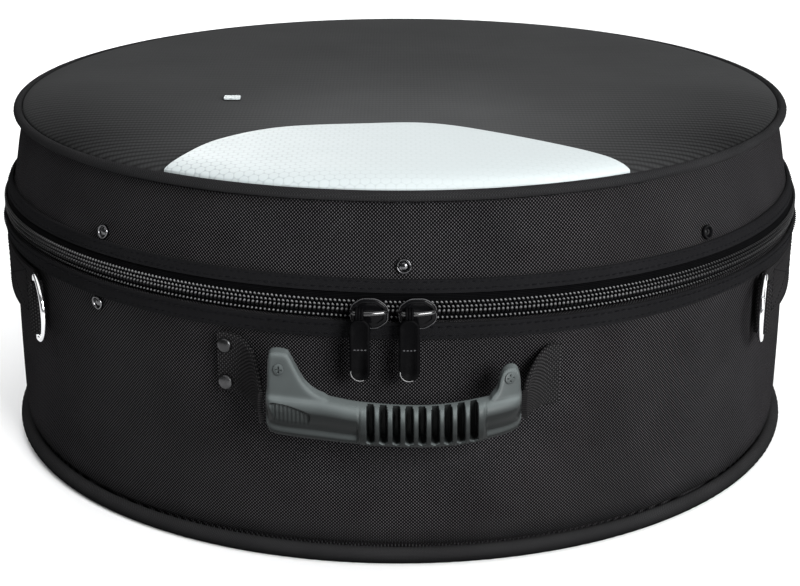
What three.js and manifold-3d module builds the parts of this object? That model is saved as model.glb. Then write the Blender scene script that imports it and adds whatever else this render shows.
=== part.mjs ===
import * as THREE from 'three';
import { mergeGeometries, mergeVertices } from 'three/addons/utils/BufferGeometryUtils.js';
import Module from 'manifold-3d';

// A round padded bag for a 14-inch snare drum: black woven nylon, a lid that zips on, a grip at the
// front and a ring for a shoulder strap at each side. Sizes are millimetres and angles degrees.
// The bag stands on z = 0, its axis is the z axis and its front faces -y. An azimuth of 0 is the
// front of the bag and +90 is its right side, +x. "Out" is a distance from the axis.

const wasm = await Module();
wasm.setup();

// Fineness of the facets and clearance between the pieces
const FULL_TURN = 360;
const RING_STEPS = 60;
const GAP = 0.3;
const MERGE = 1e-4;

// Padded cloth: thickness of the walls, the base and the lid
const PADDING = 7;
const TAPE = 1.4;
const WELT_SIDES = 8;

// Piped seams: radius of the ring, height of its middle and half the thickness of the roll
const BASE_WELT = { r: 196.4, z: 3.6, roll: 3.6 };
const LID_WELT = { r: 190.4, z: 163.2, roll: 2.2 };

// Zip: middle height, half-angle of its run from the front, and how far it dips at the front right
const ZIP_Z = 118.3;
const ZIP_END = 150;
const ZIP_SWAY = 1.4;

// Outer face of the lid wall, a row for each section from the zip up to the welt
const LID_FACE = [
  { z: 124.2, r: 196.6 },
  { z: 129.6, r: 194.8 },
  { z: 137, r: 193.2 },
  { z: 147, r: 191.4 },
  { z: 156, r: 189.6 },
  { z: LID_WELT.z - LID_WELT.roll - GAP, r: 189 },
];

// Outer face of the body wall, a row for each section from the base up to the zip
const BODY_FACE = [
  { z: BASE_WELT.z + BASE_WELT.roll + GAP, r: 195 },
  { z: 14, r: 196.6 },
  { z: 50, r: 197 },
  { z: 94, r: 196.8 },
  { z: 104.5, r: 197.9 },
  { z: 112.2, r: 198.9 },
];

// Crowned top of the lid, a row for each section from the seam in to the axis
const LID_CROWN = [
  { r: 187.9, z: 163.6 },
  { r: 187.2, z: 165.2 },
  { r: 182, z: 167.2 },
  { r: 172, z: 168.7 },
  { r: 150, z: 169.5 },
  { r: 90, z: 169.9 },
  { r: 0, z: 170 },
];
const LID_PLUG_R = 181.6;
const LID_UNDER_Z = 157.2;

// Base disc: radius, softened edge and thickness
const BASE = { r: 192.4, edge: 1, thickness: PADDING };

// Zip tape and teeth: a row for each corner of the outer face, measured from the zip's middle
const ZIP_FACE = [
  { rise: -5.8, r: 197.6 },
  { rise: -3.4, r: 198 },
  { rise: -1.9, r: 199.7 },
  { rise: 0.1, r: 200.1 },
  { rise: 2.1, r: 199.7 },
  { rise: 3.6, r: 198 },
  { rise: 5.6, r: 197.2 },
];
const ZIP_BACK_R = 195.8;

// Half-moon panel on the lid: points along its arched edge, seen from above, and its thickness
const INSERT_ARCH = [
  { x: -104, y: -166 },
  { x: -94, y: -151 },
  { x: -79, y: -124.5 },
  { x: -54, y: -104.5 },
  { x: -18, y: -98 },
  { x: 14, y: -97.5 },
  { x: 45, y: -115.5 },
  { x: 85, y: -148 },
  { x: 101, y: -166 },
];
const INSERT = { thickness: 1, frontY: -200, steps: 24 };
const TAG = { x: -81, y: -45, width: 8, depth: 6.5, corner: 1.2, thickness: 0.7 };

// Studs by the zip: the wall that each is set in, its azimuth and its height
const STUDS = [
  { name: 'stud_lid_front', face: LID_FACE, azimuth: 0.5, z: 134.6 },
  { name: 'stud_lid_left', face: LID_FACE, azimuth: -41.5, z: 133.3 },
  { name: 'stud_lid_right', face: LID_FACE, azimuth: 43.8, z: 133.3 },
  { name: 'stud_body_left', face: BODY_FACE, azimuth: -42.2, z: 100.8 },
];
const STUD_STEPS = 12;
const STUD_PROFILE = [
  { r: 0, rise: 0 },
  { r: 3.3, rise: 0 },
  { r: 3.1, rise: 1 },
  { r: 2.2, rise: 1.2 },
  { r: 1.7, rise: 0.6 },
  { r: 0, rise: 0.9 },
];
const RIVET_PROFILE = [
  { r: 0, rise: 0 },
  { r: 3.3, rise: 0 },
  { r: 3, rise: 0.9 },
  { r: 1.8, rise: 1.6 },
  { r: 0, rise: 1.8 },
];

// Zip sliders: azimuth of each, plate outline half-sizes, and the bail that the pull hangs on
const SLIDERS = [
  { side: 'left', azimuth: -3.55 },
  { side: 'right', azimuth: 2.05 },
];
const SLIDER = { halfWidth: 7.6, halfHeight: 6.4, nose: 3.2, drop: 1.2, back: 200.9, thickness: 2.4, bevel: 0.5 };
const BAIL = { out: 206.6, radius: 1.1, postX: 6.6, postWidth: 1.8, postHeight: 2.6, sides: 8 };
const PULL = { shift: -3.6, neck: 3.6, eye: 1.6, loop: 2.8, halfWidth: 4.2, length: 29.5, thickness: 2.2 };
const PULL_SHOULDER = 4.6;
const PULL_CURVE_STEPS = 5;

// Grip: a row for each section of the bar, with its lower and upper edge, and the outlines of the two ears
const GRIP = { out: 222, barDepth: 14, endDepth: 8, barCorner: 3.4, earDepth: 8, earBevel: 1.2, facet: 9 };
const GRIP_BAR = [
  { x: -54.6, low: 73.4, high: 87.6, depth: GRIP.endDepth },
  { x: -51, low: 70.2, high: 87.5, depth: GRIP.barDepth },
  { x: -32, low: 69, high: 87, depth: GRIP.barDepth },
  { x: -16, low: 68.2, high: 84.8, depth: GRIP.barDepth },
  { x: 9, low: 67.6, high: 83.8, depth: GRIP.barDepth },
  { x: 34, low: 68.6, high: 85.4, depth: GRIP.barDepth },
  { x: 47, low: 70.2, high: 86.2, depth: GRIP.barDepth },
  { x: 49.8, low: 73.4, high: 86.4, depth: GRIP.endDepth },
];
const LEFT_EAR = [
  { x: -54.4, z: 78 },
  { x: -30, z: 78 },
  { x: -28, z: 87 },
  { x: -34.5, z: 88.8 },
  { x: -39, z: 92.4 },
  { x: -42, z: 97 },
  { x: -45.2, z: 102.6 },
  { x: -46.6, z: 103.4 },
  { x: -52.2, z: 103.4 },
  { x: -53.8, z: 102 },
];
const RIGHT_EAR = [
  { x: 36, z: 78 },
  { x: 49.4, z: 78 },
  { x: 49.4, z: 92.2 },
  { x: 47.9, z: 95.6 },
  { x: 44.9, z: 96.8 },
  { x: 41.9, z: 95.6 },
  { x: 40.4, z: 92.2 },
  { x: 39.6, z: 88.6 },
  { x: 36, z: 86 },
];
const GRIP_SLOTS = { count: 9, firstX: -11.9, pitch: 5.22, width: 3, bottom: 69.6, top: 95, depth: 8.5 };

// How the grip bows back to the bag: the crest of the bow, its set-back at each end, and the ears' lean
const GRIP_BOW = { crestX: 9, leftX: -55, leftBack: 9, rightX: 50, rightBack: 13 };
const EAR_LEAN = { fromZ: 86, slope: 0.38 };
const GRIP_SCREWS = [
  { name: 'grip_screw_left', x: -49.2, z: 97.4 },
  { name: 'grip_screw_right', x: 44.9, z: 93.4 },
];
const SCREW_PROFILE = [
  { r: 0, rise: 0 },
  { r: 2.1, rise: 0 },
  { r: 1.8, rise: 0.7 },
  { r: 0, rise: 0.9 },
];

// Webbing of the handle, a row for each section from the wall to the grip: place, height and width
const WEBBING = 2.2;
const STRAPS = [
  {
    name: 'handle_strap_left',
    rows: [
      { x: -76.5, out: 183.3, z: 89, width: 27 },
      { x: -71, out: 185.5, z: 89, width: 27 },
      { x: -66, out: 188.6, z: 88.2, width: 26 },
      { x: -61.8, out: 194.5, z: 86, width: 24 },
      { x: -58.6, out: 203, z: 82.6, width: 19 },
      { x: -56.6, out: 211.5, z: 79.4, width: 14 },
    ],
  },
  {
    name: 'handle_strap_right',
    rows: [
      { x: 67, out: 187, z: 85, width: 27 },
      { x: 63, out: 188.5, z: 85, width: 27 },
      { x: 59.4, out: 191.2, z: 84.2, width: 25 },
      { x: 55.6, out: 197, z: 82.4, width: 21 },
      { x: 52.8, out: 203.6, z: 80.8, width: 16 },
      { x: 51.6, out: 209, z: 79.6, width: 13 },
    ],
  },
];
const STRAP_STEPS = 12;
const HANDLE_RIVETS = [
  { name: 'handle_rivet_upper', azimuth: -21.6, z: 97, r: 199.8 },
  { name: 'handle_rivet_lower', azimuth: -21.6, z: 80.4, r: 199.8 },
];

// Rings for the shoulder strap: azimuth of each ring's bar, and how far the ring stands off the wall
const DRINGS = [
  { side: 'left', azimuth: -56.5, lift: 11 },
  { side: 'right', azimuth: 56.5, lift: 19 },
];
const DRING = { out: 201.4, z: 87, bend: 15.2, wire: 1.3, wireSides: 8, arcSteps: 12 };
const TAB = { low: 76.5, high: 102.6, inner: 197.8, outer: 200, start: 0.75, end: 23.5 };
const TAB_LOOP = { height: 25, eye: 1.8, out: 3.4, sides: 14 };

// Finishes by name
const FINISH = {
  weave: { color: 0x1b1c1e, roughness: 0.85, metalness: 0 },
  lid_weave: { color: 0x34363a, roughness: 0.7, metalness: 0 },
  binding: { color: 0x1f2022, roughness: 0.7, metalness: 0 },
  zip: { color: 0x26272a, roughness: 0.4, metalness: 0 },
  gloss: { color: 0x0c0c0d, roughness: 0.25, metalness: 0.2 },
  pale: { color: 0xe4eef0, roughness: 0.6, metalness: 0 },
  grip: { color: 0x3a4040, roughness: 0.5, metalness: 0 },
  webbing: { color: 0x17181a, roughness: 0.9, metalness: 0 },
  chrome: { color: 0xd5d7d9, roughness: 0.15, metalness: 1 },
};

const radians = THREE.MathUtils.degToRad;
const STRAIGHT_OUT = new THREE.Vector3(0, 0, 1);
const bag = new THREE.Group();
bag.name = 'drum_bag';

function addPiece(name, finish, geometry, parent = bag) {
  const mesh = new THREE.Mesh(geometry, new THREE.MeshStandardMaterial(FINISH[finish]));
  mesh.name = name;
  parent.add(mesh);
  return mesh;
}

// Shared corners become one vertex and collapsed triangles go, so a piece is one closed skin
function closeSkin(geometry) {
  geometry.deleteAttribute('normal');
  geometry.deleteAttribute('uv');
  const skin = mergeVertices(geometry, MERGE);
  const corners = skin.index.array;
  const kept = [];
  for (let i = 0; i < corners.length; i += 3) {
    const [a, b, c] = corners.slice(i, i + 3);
    if (a !== b && b !== c && c !== a) {
      kept.push(a, b, c);
    }
  }
  skin.setIndex(kept);
  skin.computeVertexNormals();
  return skin;
}

function solidOf(geometry) {
  const skin = closeSkin(geometry);
  const vertProperties = new Float32Array(skin.getAttribute('position').array);
  const triVerts = new Uint32Array(skin.index.array);
  return new wasm.Manifold(new wasm.Mesh({ numProp: 3, vertProperties, triVerts }));
}

function geometryOf(solid) {
  const { vertProperties, triVerts } = solid.getMesh();
  const geometry = new THREE.BufferGeometry();
  geometry.setAttribute('position', new THREE.BufferAttribute(vertProperties, 3));
  geometry.setIndex(new THREE.BufferAttribute(triVerts, 1));
  return closeSkin(geometry);
}

function join(...pieces) {
  return geometryOf(pieces.map(solidOf).reduce((whole, piece) => whole.add(piece)));
}

function cut(piece, ...tools) {
  return geometryOf(tools.map(solidOf).reduce((rest, tool) => rest.subtract(tool), solidOf(piece)));
}

function shared(piece, other) {
  return geometryOf(solidOf(piece).intersect(solidOf(other)));
}

// Move every corner of a piece by a rule on its place
function reshape(geometry, rule) {
  const place = geometry.getAttribute('position');
  const corner = new THREE.Vector3();
  for (let i = 0; i < place.count; i++) {
    corner.fromBufferAttribute(place, i);
    rule(corner);
    place.setXYZ(i, corner.x, corner.y, corner.z);
  }
  geometry.computeVertexNormals();
  return geometry;
}

function flipped(geometry) {
  const corners = geometry.index.array;
  for (let i = 0; i < corners.length; i += 3) {
    [corners[i], corners[i + 1]] = [corners[i + 1], corners[i]];
  }
  return geometry;
}

function sectionEnd(section, azimuth) {
  return new THREE.ShapeGeometry(new THREE.Shape(section)).rotateY(radians(azimuth) - Math.PI / 2);
}

// Turn a closed section of radius and height about the z axis, between two azimuths
function revolve(section, from = -FULL_TURN / 2, to = FULL_TURN / 2, steps = RING_STEPS) {
  const outline = THREE.ShapeUtils.isClockWise(section) ? [...section].reverse() : section;
  const span = to - from;
  const facets = Math.round((steps * span) / FULL_TURN);
  const skins = [new THREE.LatheGeometry([...outline, outline[0]], facets, radians(from), radians(span))];
  if (span < FULL_TURN) {
    skins.push(sectionEnd(outline, from), flipped(sectionEnd(outline, to)));
  }
  return closeSkin(mergeGeometries(skins)).rotateX(Math.PI / 2);
}

function sectionOf(rows) {
  return rows.map(({ r, z }) => new THREE.Vector2(r, z));
}

// The zip dips at the front right and rises at the front left, and the walls follow it
function zipSway(azimuth, z) {
  const seamZ = LID_FACE.at(-1).z;
  const reach = z > ZIP_Z ? (seamZ - z) / (seamZ - ZIP_Z) : z / ZIP_Z;
  return -ZIP_SWAY * Math.max(reach, 0) * Math.sin(2 * azimuth);
}

function settleZip(corner) {
  corner.z += zipSway(Math.atan2(corner.x, -corner.y), corner.z);
}

function ring(section, from, to) {
  return reshape(revolve(section, from, to), settleZip);
}

// A padded wall: its outer face, and a straight inner face one padding in
function wallSection(face) {
  const first = face[0];
  const last = face.at(-1);
  return sectionOf([...face, { r: last.r - PADDING, z: last.z }, { r: first.r - PADDING, z: first.z }]);
}

function weltSection({ r, z, roll }) {
  const reach = roll / Math.cos(Math.PI / WELT_SIDES);
  return Array.from({ length: WELT_SIDES }, (_, i) => {
    const turn = (2 * Math.PI * (i + 0.5)) / WELT_SIDES;
    return new THREE.Vector2(r + reach * Math.cos(turn), z + reach * Math.sin(turn));
  });
}

// A facing strip that lies on a stretch of wall, thinner at its two edges
function stripSection(face) {
  const under = face.map(({ r, z }) => ({ r: r + GAP, z }));
  const over = face.map(({ r, z }, i) => {
    const edge = i === 0 ? TAPE / 2 : i === face.length - 1 ? -TAPE / 2 : 0;
    return { r: r + GAP + TAPE, z: z + edge };
  });
  return sectionOf([...over, ...under.reverse()]);
}

function zipSection() {
  const face = ZIP_FACE.map(({ rise, r }) => ({ r, z: ZIP_Z + rise }));
  const top = face.at(-1).z;
  return sectionOf([...face, { r: ZIP_BACK_R, z: top }, { r: ZIP_BACK_R, z: face[0].z }]);
}

function addShell() {
  const { r, edge, thickness } = BASE;
  const baseRows = [
    { r: 0, z: 0 },
    { r: r - edge, z: 0 },
    { r, z: edge },
    { r, z: thickness - edge },
    { r: r - edge, z: thickness },
    { r: 0, z: thickness },
  ];
  const seamZ = LID_FACE.at(-1).z + GAP;
  const lidRows = [
    { r: 0, z: LID_UNDER_Z },
    { r: LID_PLUG_R, z: LID_UNDER_Z },
    { r: LID_PLUG_R, z: seamZ },
    { r: LID_CROWN[0].r, z: seamZ },
    ...LID_CROWN,
  ];
  addPiece('base_panel', 'weave', revolve(sectionOf(baseRows)));
  addPiece('base_welt', 'binding', revolve(weltSection(BASE_WELT)));
  addPiece('body_wall', 'weave', ring(wallSection(BODY_FACE)));
  addPiece('lid_wall', 'weave', ring(wallSection(LID_FACE)));
  addPiece('lid_panel', 'lid_weave', revolve(sectionOf(lidRows)));
  addPiece('lid_welt', 'binding', revolve(weltSection(LID_WELT)));
}

function addZipBand() {
  const bodyEdge = BODY_FACE.slice(-2);
  const lidEdge = LID_FACE.slice(0, 2);
  addPiece('body_tape', 'binding', ring(stripSection(bodyEdge), -ZIP_END, ZIP_END));
  addPiece('zip_chain', 'zip', ring(zipSection(), -ZIP_END, ZIP_END));
  addPiece('lid_tape', 'binding', ring(stripSection(lidEdge), -ZIP_END, ZIP_END));
  const hingeEnd = ZIP_END + THREE.MathUtils.radToDeg(GAP / ZIP_BACK_R);
  const hinge = ring(stripSection([...bodyEdge, ...lidEdge]), hingeEnd, FULL_TURN - hingeEnd);
  addPiece('back_hinge', 'weave', hinge);
}

// The half-moon panel is a thin layer of the crown, cut to its arched outline
function addLidMarks() {
  const under = LID_CROWN.map(({ r, z }) => ({ r, z: z + GAP }));
  const over = LID_CROWN.map(({ r, z }) => ({ r, z: z + GAP + INSERT.thickness }));
  const arch = new THREE.SplineCurve(INSERT_ARCH.map(({ x, y }) => new THREE.Vector2(x, y)));
  const outline = arch.getPoints(INSERT.steps);
  outline.push(new THREE.Vector2(INSERT_ARCH.at(-1).x, INSERT.frontY));
  outline.push(new THREE.Vector2(INSERT_ARCH[0].x, INSERT.frontY));
  const column = new THREE.ExtrudeGeometry(new THREE.Shape(outline), { depth: PADDING, bevelEnabled: false });
  column.translate(0, 0, LID_CROWN[0].z - GAP);
  const crownLayer = revolve(sectionOf([...over, ...under.reverse()]));
  addPiece('lid_insert', 'pale', shared(crownLayer, column));

  const tag = slab(TAG.width, TAG.depth, TAG.corner, TAG.thickness);
  tag.translate(TAG.x, TAG.y, crownHeight(Math.hypot(TAG.x, TAG.y)) + GAP);
  addPiece('lid_tag', 'pale', closeSkin(tag));
}

function crownHeight(r) {
  const outer = LID_CROWN.findLastIndex((row) => row.r >= r);
  const [a, b] = [LID_CROWN[outer], LID_CROWN[outer + 1]];
  return a.z + ((b.z - a.z) * (a.r - r)) / (a.r - b.r);
}

function roundedOutline(width, height, corner) {
  const [x, y] = [width / 2, height / 2];
  const shape = new THREE.Shape();
  shape.absarc(x - corner, y - corner, corner, 0, Math.PI / 2);
  shape.absarc(corner - x, y - corner, corner, Math.PI / 2, Math.PI);
  shape.absarc(corner - x, corner - y, corner, Math.PI, 1.5 * Math.PI);
  shape.absarc(x - corner, corner - y, corner, 1.5 * Math.PI, 2 * Math.PI);
  return shape;
}

// A flat plate with rounded corners, centred on its face
function slab(width, height, corner, thickness) {
  const shape = roundedOutline(width, height, corner);
  return new THREE.ExtrudeGeometry(shape, { depth: thickness, bevelEnabled: false, curveSegments: 2 });
}

// A group on the bag: its x runs to the right along the wall, its y up and its z straight out
function stand(azimuth, out, z) {
  const turn = radians(azimuth);
  const group = new THREE.Group();
  group.rotation.set(Math.PI / 2, 0, turn, 'ZXY');
  group.position.set(out * Math.sin(turn), -out * Math.cos(turn), z);
  bag.add(group);
  return group;
}

function cap(profile) {
  const points = profile.map(({ r, rise }) => new THREE.Vector2(r, rise));
  return closeSkin(new THREE.LatheGeometry(points, STUD_STEPS)).rotateX(Math.PI / 2);
}

// Radius and slope of a wall's outer face at a height
function wallAt(face, z) {
  const row = face.findLastIndex((section) => section.z <= z);
  const [low, high] = [face[row], face[row + 1]];
  const slope = (high.r - low.r) / (high.z - low.z);
  return { r: low.r + slope * (z - low.z), slope };
}

function addStuds() {
  for (const { name, face, azimuth, z } of STUDS) {
    const { r, slope } = wallAt(face, z);
    const place = stand(azimuth, r, z + zipSway(radians(azimuth), z));
    const stud = cap(STUD_PROFILE).translate(0, 0, GAP);
    addPiece(name, 'gloss', stud, place).rotation.x = Math.atan(slope);
  }
}

// A slider is a waisted plate over the teeth with a bail on two posts along the zip
function sliderGeometry() {
  const { halfWidth: w, halfHeight: h, nose, drop, thickness, bevel, back } = SLIDER;
  const outline = [
    [-w, -nose],
    [-nose, -h],
    [nose, -h],
    [w, -nose],
    [w, nose],
    [nose, h],
    [-nose, h],
    [-w, nose],
  ].map(([x, y]) => new THREE.Vector2(x, y));
  const plate = new THREE.ExtrudeGeometry(new THREE.Shape(outline), {
    depth: thickness - 2 * bevel,
    bevelThickness: bevel,
    bevelSize: bevel,
    bevelOffset: -bevel,
    bevelSegments: 1,
  });
  plate.translate(0, -drop, back + bevel);
  const plateTop = back + thickness - bevel;
  const postDepth = BAIL.out + BAIL.radius - plateTop;
  const posts = [-BAIL.postX, BAIL.postX].map((x) => {
    const post = new THREE.BoxGeometry(BAIL.postWidth, BAIL.postHeight, postDepth);
    return post.translate(x, 0, plateTop + postDepth / 2);
  });
  const rod = new THREE.CylinderGeometry(BAIL.radius, BAIL.radius, 2 * BAIL.postX, BAIL.sides);
  rod.rotateZ(Math.PI / 2).translate(0, 0, BAIL.out);
  return join(plate, ...posts, rod);
}

// A pull is an eye round the bail with a flat tab below it, rounded at the foot
function pullGeometry() {
  const { shift, neck, eye, loop, halfWidth: w, length, thickness } = PULL;
  const eyeSection = sectionOf([
    { r: eye, z: -neck / 2 },
    { r: loop, z: -neck / 2 },
    { r: loop, z: neck / 2 },
    { r: eye, z: neck / 2 },
  ]);
  const eyeRing = revolve(eyeSection, undefined, undefined, STUD_STEPS).rotateY(Math.PI / 2);
  const tab = new THREE.Shape();
  const top = -(eye + loop) / 2;
  tab.moveTo(neck / 2, top);
  tab.lineTo(-neck / 2, top);
  tab.lineTo(-w, -PULL_SHOULDER);
  tab.lineTo(-w, w - length);
  tab.absarc(0, w - length, w, Math.PI, 2 * Math.PI);
  tab.lineTo(w, -PULL_SHOULDER);
  const plate = new THREE.ExtrudeGeometry(tab, {
    depth: thickness,
    bevelEnabled: false,
    curveSegments: PULL_CURVE_STEPS,
  });
  plate.translate(0, 0, -thickness / 2);
  return join(eyeRing, plate).translate(shift, 0, BAIL.out);
}

function addSliders() {
  for (const { side, azimuth } of SLIDERS) {
    const place = stand(azimuth, 0, ZIP_Z);
    addPiece(`slider_${side}`, 'gloss', sliderGeometry(), place);
    addPiece(`pull_${side}`, 'gloss', pullGeometry(), place);
  }
}

// Set-back of the grip towards the bag at a place on its front outline
function gripBack(x, z) {
  const { crestX, leftX, leftBack, rightX, rightBack } = GRIP_BOW;
  const bow = x < crestX
    ? leftBack * ((x - crestX) / (leftX - crestX)) ** 2
    : rightBack * ((x - crestX) / (rightX - crestX)) ** 2;
  return bow + EAR_LEAN.slope * Math.max(z - EAR_LEAN.fromZ, 0);
}

function bowGrip(corner) {
  corner.z -= gripBack(corner.x, corner.y);
}

// Sections of the bar, close enough together for it to follow the bow
function barSections() {
  return GRIP_BAR.flatMap((row, i) => {
    const next = GRIP_BAR[i + 1] ?? row;
    const count = Math.max(Math.ceil((next.x - row.x) / GRIP.facet), 1);
    return Array.from({ length: count }, (_, step) => {
      const between = (column) => THREE.MathUtils.lerp(row[column], next[column], step / count);
      return { x: between('x'), low: between('low'), high: between('high'), depth: between('depth') };
    });
  });
}

// A skin over a row of sections with as many corners each, closed at both ends
function loft(sections) {
  const sides = sections[0].length;
  const last = (sections.length - 1) * sides;
  const corners = [];
  for (let start = 0; start < last; start += sides) {
    for (let i = 0; i < sides; i++) {
      const [a, b] = [start + i, start + ((i + 1) % sides)];
      corners.push(a, b, b + sides, a, b + sides, a + sides);
    }
  }
  for (let i = 1; i < sides - 1; i++) {
    corners.push(0, i + 1, i, last, last + i, last + i + 1);
  }
  const geometry = new THREE.BufferGeometry().setFromPoints(sections.flat());
  geometry.setIndex(corners);
  return closeSkin(geometry);
}

function gripBar() {
  const sections = barSections().map(({ x, low, high, depth }) => {
    const outline = roundedOutline(high - low, depth, GRIP.barCorner).getPoints(1);
    return outline.map((point) => new THREE.Vector3(x, (low + high) / 2 + point.x, GRIP.out + point.y));
  });
  return reshape(loft(sections), bowGrip);
}

function gripEar(rows) {
  const { earDepth: depth, earBevel: bevel } = GRIP;
  const shape = new THREE.Shape(rows.map(({ x, z }) => new THREE.Vector2(x, z)));
  const block = new THREE.ExtrudeGeometry(shape, {
    depth: depth - 2 * bevel,
    bevelThickness: bevel,
    bevelSize: bevel,
    bevelOffset: -bevel,
    bevelSegments: 2,
  });
  return reshape(block.translate(0, 0, GRIP.out + bevel - depth / 2), bowGrip);
}

function gripSlots() {
  const { count, firstX, pitch, width, top, bottom, depth } = GRIP_SLOTS;
  const front = GRIP.out + GRIP.barDepth / 2;
  return Array.from({ length: count }, (_, i) => {
    const x = firstX + i * pitch;
    const slot = new THREE.Shape();
    slot.moveTo(width / 2, top);
    slot.lineTo(-width / 2, top);
    slot.absarc(0, bottom + width / 2, width / 2, Math.PI, 2 * Math.PI);
    const block = new THREE.ExtrudeGeometry(slot, { depth: 2 * depth, bevelEnabled: false, curveSegments: 4 });
    return block.translate(x, 0, front - depth - gripBack(x, bottom));
  });
}

function addGrip() {
  const place = stand(0, 0, 0);
  const ears = [LEFT_EAR, RIGHT_EAR].map(gripEar);
  const grip = cut(join(gripBar(), ...ears), ...gripSlots());
  addPiece('handle_grip', 'grip', grip, place);
  for (const { name, x, z } of GRIP_SCREWS) {
    const across = gripBack(x + 1, z) - gripBack(x, z);
    const facing = new THREE.Vector3(across, EAR_LEAN.slope, 1).normalize();
    const screw = addPiece(name, 'gloss', cap(SCREW_PROFILE).translate(0, 0, GAP), place);
    screw.position.set(x, z, GRIP.out + GRIP.earDepth / 2 - gripBack(x, z));
    screw.quaternion.setFromUnitVectors(STRAIGHT_OUT, facing);
  }
}

// Webbing that follows a row of sections, narrowing where it gathers into the grip
function strapGeometry(rows) {
  const path = new THREE.CatmullRomCurve3(rows.map(({ x, out, z }) => new THREE.Vector3(x, z, out)));
  const strip = new THREE.BoxGeometry(1, 1, WEBBING, STRAP_STEPS, 1, 1);
  return closeSkin(
    reshape(strip, (corner) => {
      const along = corner.x + 0.5;
      const row = Math.min(Math.floor(along * (rows.length - 1)), rows.length - 2);
      const width = THREE.MathUtils.lerp(rows[row].width, rows[row + 1].width, along * (rows.length - 1) - row);
      const middle = path.getPoint(along);
      const heading = path.getTangent(along);
      const face = new THREE.Vector3(-heading.z, 0, heading.x).normalize();
      const rise = corner.y * width;
      const offset = corner.z;
      corner.copy(middle).addScaledVector(face, offset);
      corner.y += rise;
    }),
  );
}

function addHandleStraps() {
  const place = stand(0, 0, 0);
  for (const { name, rows } of STRAPS) {
    addPiece(name, 'webbing', strapGeometry(rows), place);
  }
  for (const { name, azimuth, z, r } of HANDLE_RIVETS) {
    addPiece(name, 'gloss', cap(RIVET_PROFILE), stand(azimuth, r + GAP, z));
  }
}

// A ring is a half circle of wire closed by a straight bar, and turns on the bar; its bend points to -x or +x
function dringGeometry(heading) {
  const { bend, wire, wireSides, arcSteps } = DRING;
  const wireSection = Array.from({ length: wireSides }, (_, i) => {
    const turn = (2 * Math.PI * i) / wireSides;
    return new THREE.Vector2(bend + wire * Math.cos(turn), wire * Math.sin(turn));
  });
  const arc = revolve(wireSection, -90, 90, 2 * arcSteps).rotateZ(-Math.PI / 2);
  const bar = new THREE.CylinderGeometry(wire, wire, 2 * bend, wireSides);
  const corners = [-bend, bend].map((y) => {
    return new THREE.SphereGeometry(wire, wireSides, wireSides / 2).translate(0, y, 0);
  });
  return join(arc, bar, ...corners).rotateY(heading > 0 ? Math.PI : 0);
}

// A webbing tab lies along the wall and loops round the ring's bar
function tabGeometry(azimuth) {
  const { low, high, inner, outer, start, end } = TAB;
  const { height, eye, out, sides } = TAB_LOOP;
  const stripRows = [
    { r: inner, z: low },
    { r: outer, z: low },
    { r: outer, z: high },
    { r: inner, z: high },
  ];
  const loopRows = [
    { r: eye, z: DRING.z - height / 2 },
    { r: out, z: DRING.z - height / 2 },
    { r: out, z: DRING.z + height / 2 },
    { r: eye, z: DRING.z + height / 2 },
  ];
  const [from, to] = azimuth > 0 ? [azimuth + start, azimuth + end] : [azimuth - end, azimuth - start];
  const strip = revolve(sectionOf(stripRows), from, to, 2 * RING_STEPS);
  const eyeRing = revolve(sectionOf(loopRows), undefined, undefined, sides);
  const turn = radians(azimuth);
  eyeRing.translate(DRING.out * Math.sin(turn), -DRING.out * Math.cos(turn), 0);
  return join(strip, eyeRing);
}

function addDrings() {
  for (const { side, azimuth, lift } of DRINGS) {
    addPiece(`dring_tab_${side}`, 'webbing', tabGeometry(azimuth));
    const place = stand(azimuth, DRING.out, DRING.z);
    const ringMesh = addPiece(`dring_${side}`, 'chrome', dringGeometry(-azimuth), place);
    ringMesh.rotation.y = radians(Math.sign(azimuth) * lift);
  }
}

addShell();
addZipBand();
addLidMarks();
addStuds();
addSliders();
addGrip();
addHandleStraps();
addDrings();

export default bag;
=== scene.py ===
"""Looks of the drum bag: padded nylon, zip, webbing, grip and rings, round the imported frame."""
import math
from types import SimpleNamespace as Sizes

import bmesh
import bpy
import numpy as np
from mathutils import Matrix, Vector


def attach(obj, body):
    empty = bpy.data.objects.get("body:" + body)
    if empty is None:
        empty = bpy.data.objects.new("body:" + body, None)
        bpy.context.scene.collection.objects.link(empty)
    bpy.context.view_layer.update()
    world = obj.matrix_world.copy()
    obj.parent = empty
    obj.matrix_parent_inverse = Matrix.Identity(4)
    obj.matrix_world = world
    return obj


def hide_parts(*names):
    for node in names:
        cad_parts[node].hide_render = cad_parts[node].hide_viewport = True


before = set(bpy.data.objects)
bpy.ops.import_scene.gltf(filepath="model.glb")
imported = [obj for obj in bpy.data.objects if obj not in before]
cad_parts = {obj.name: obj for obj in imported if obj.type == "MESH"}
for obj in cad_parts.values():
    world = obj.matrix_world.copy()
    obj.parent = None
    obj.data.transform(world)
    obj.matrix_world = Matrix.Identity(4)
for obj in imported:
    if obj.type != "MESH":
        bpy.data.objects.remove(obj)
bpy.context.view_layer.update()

# Sizes are millimetres and angles degrees unless a name says otherwise. The bag stands on z = 0 with its
# axis on z and its front to -y; an azimuth is 0 at the front and +90 on the right side, +x.
MM = 0.001
RING_STEPS = 480
SEED = 14
draws = np.random.default_rng(SEED)

# Radii that round off the outlines of pieces
EDGE_ROUND = Sizes(wall=0.4, strip=0.6, zip=0.5, tag=1.2, pull=1.2, ear=4, ring=1)

# Thickness of the padding and of the facing strips, and gaps that keep a piece clear of what it lies on
PADDING = 7
TAPE = 1.4
LIFT = 0.3
STRIP_LIFT = 0.06

# Shifts that keep the flat layouts of the cloth clear of zero, and how far copies of a piece are scattered
LAYOUT_SHIFT = 5
WEBBING_SHIFT = 2
GRIP_SHIFT = 60
FLAT_SHIFT = 200
INSERT_SHIFT = 220
SCATTER = 40

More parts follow.
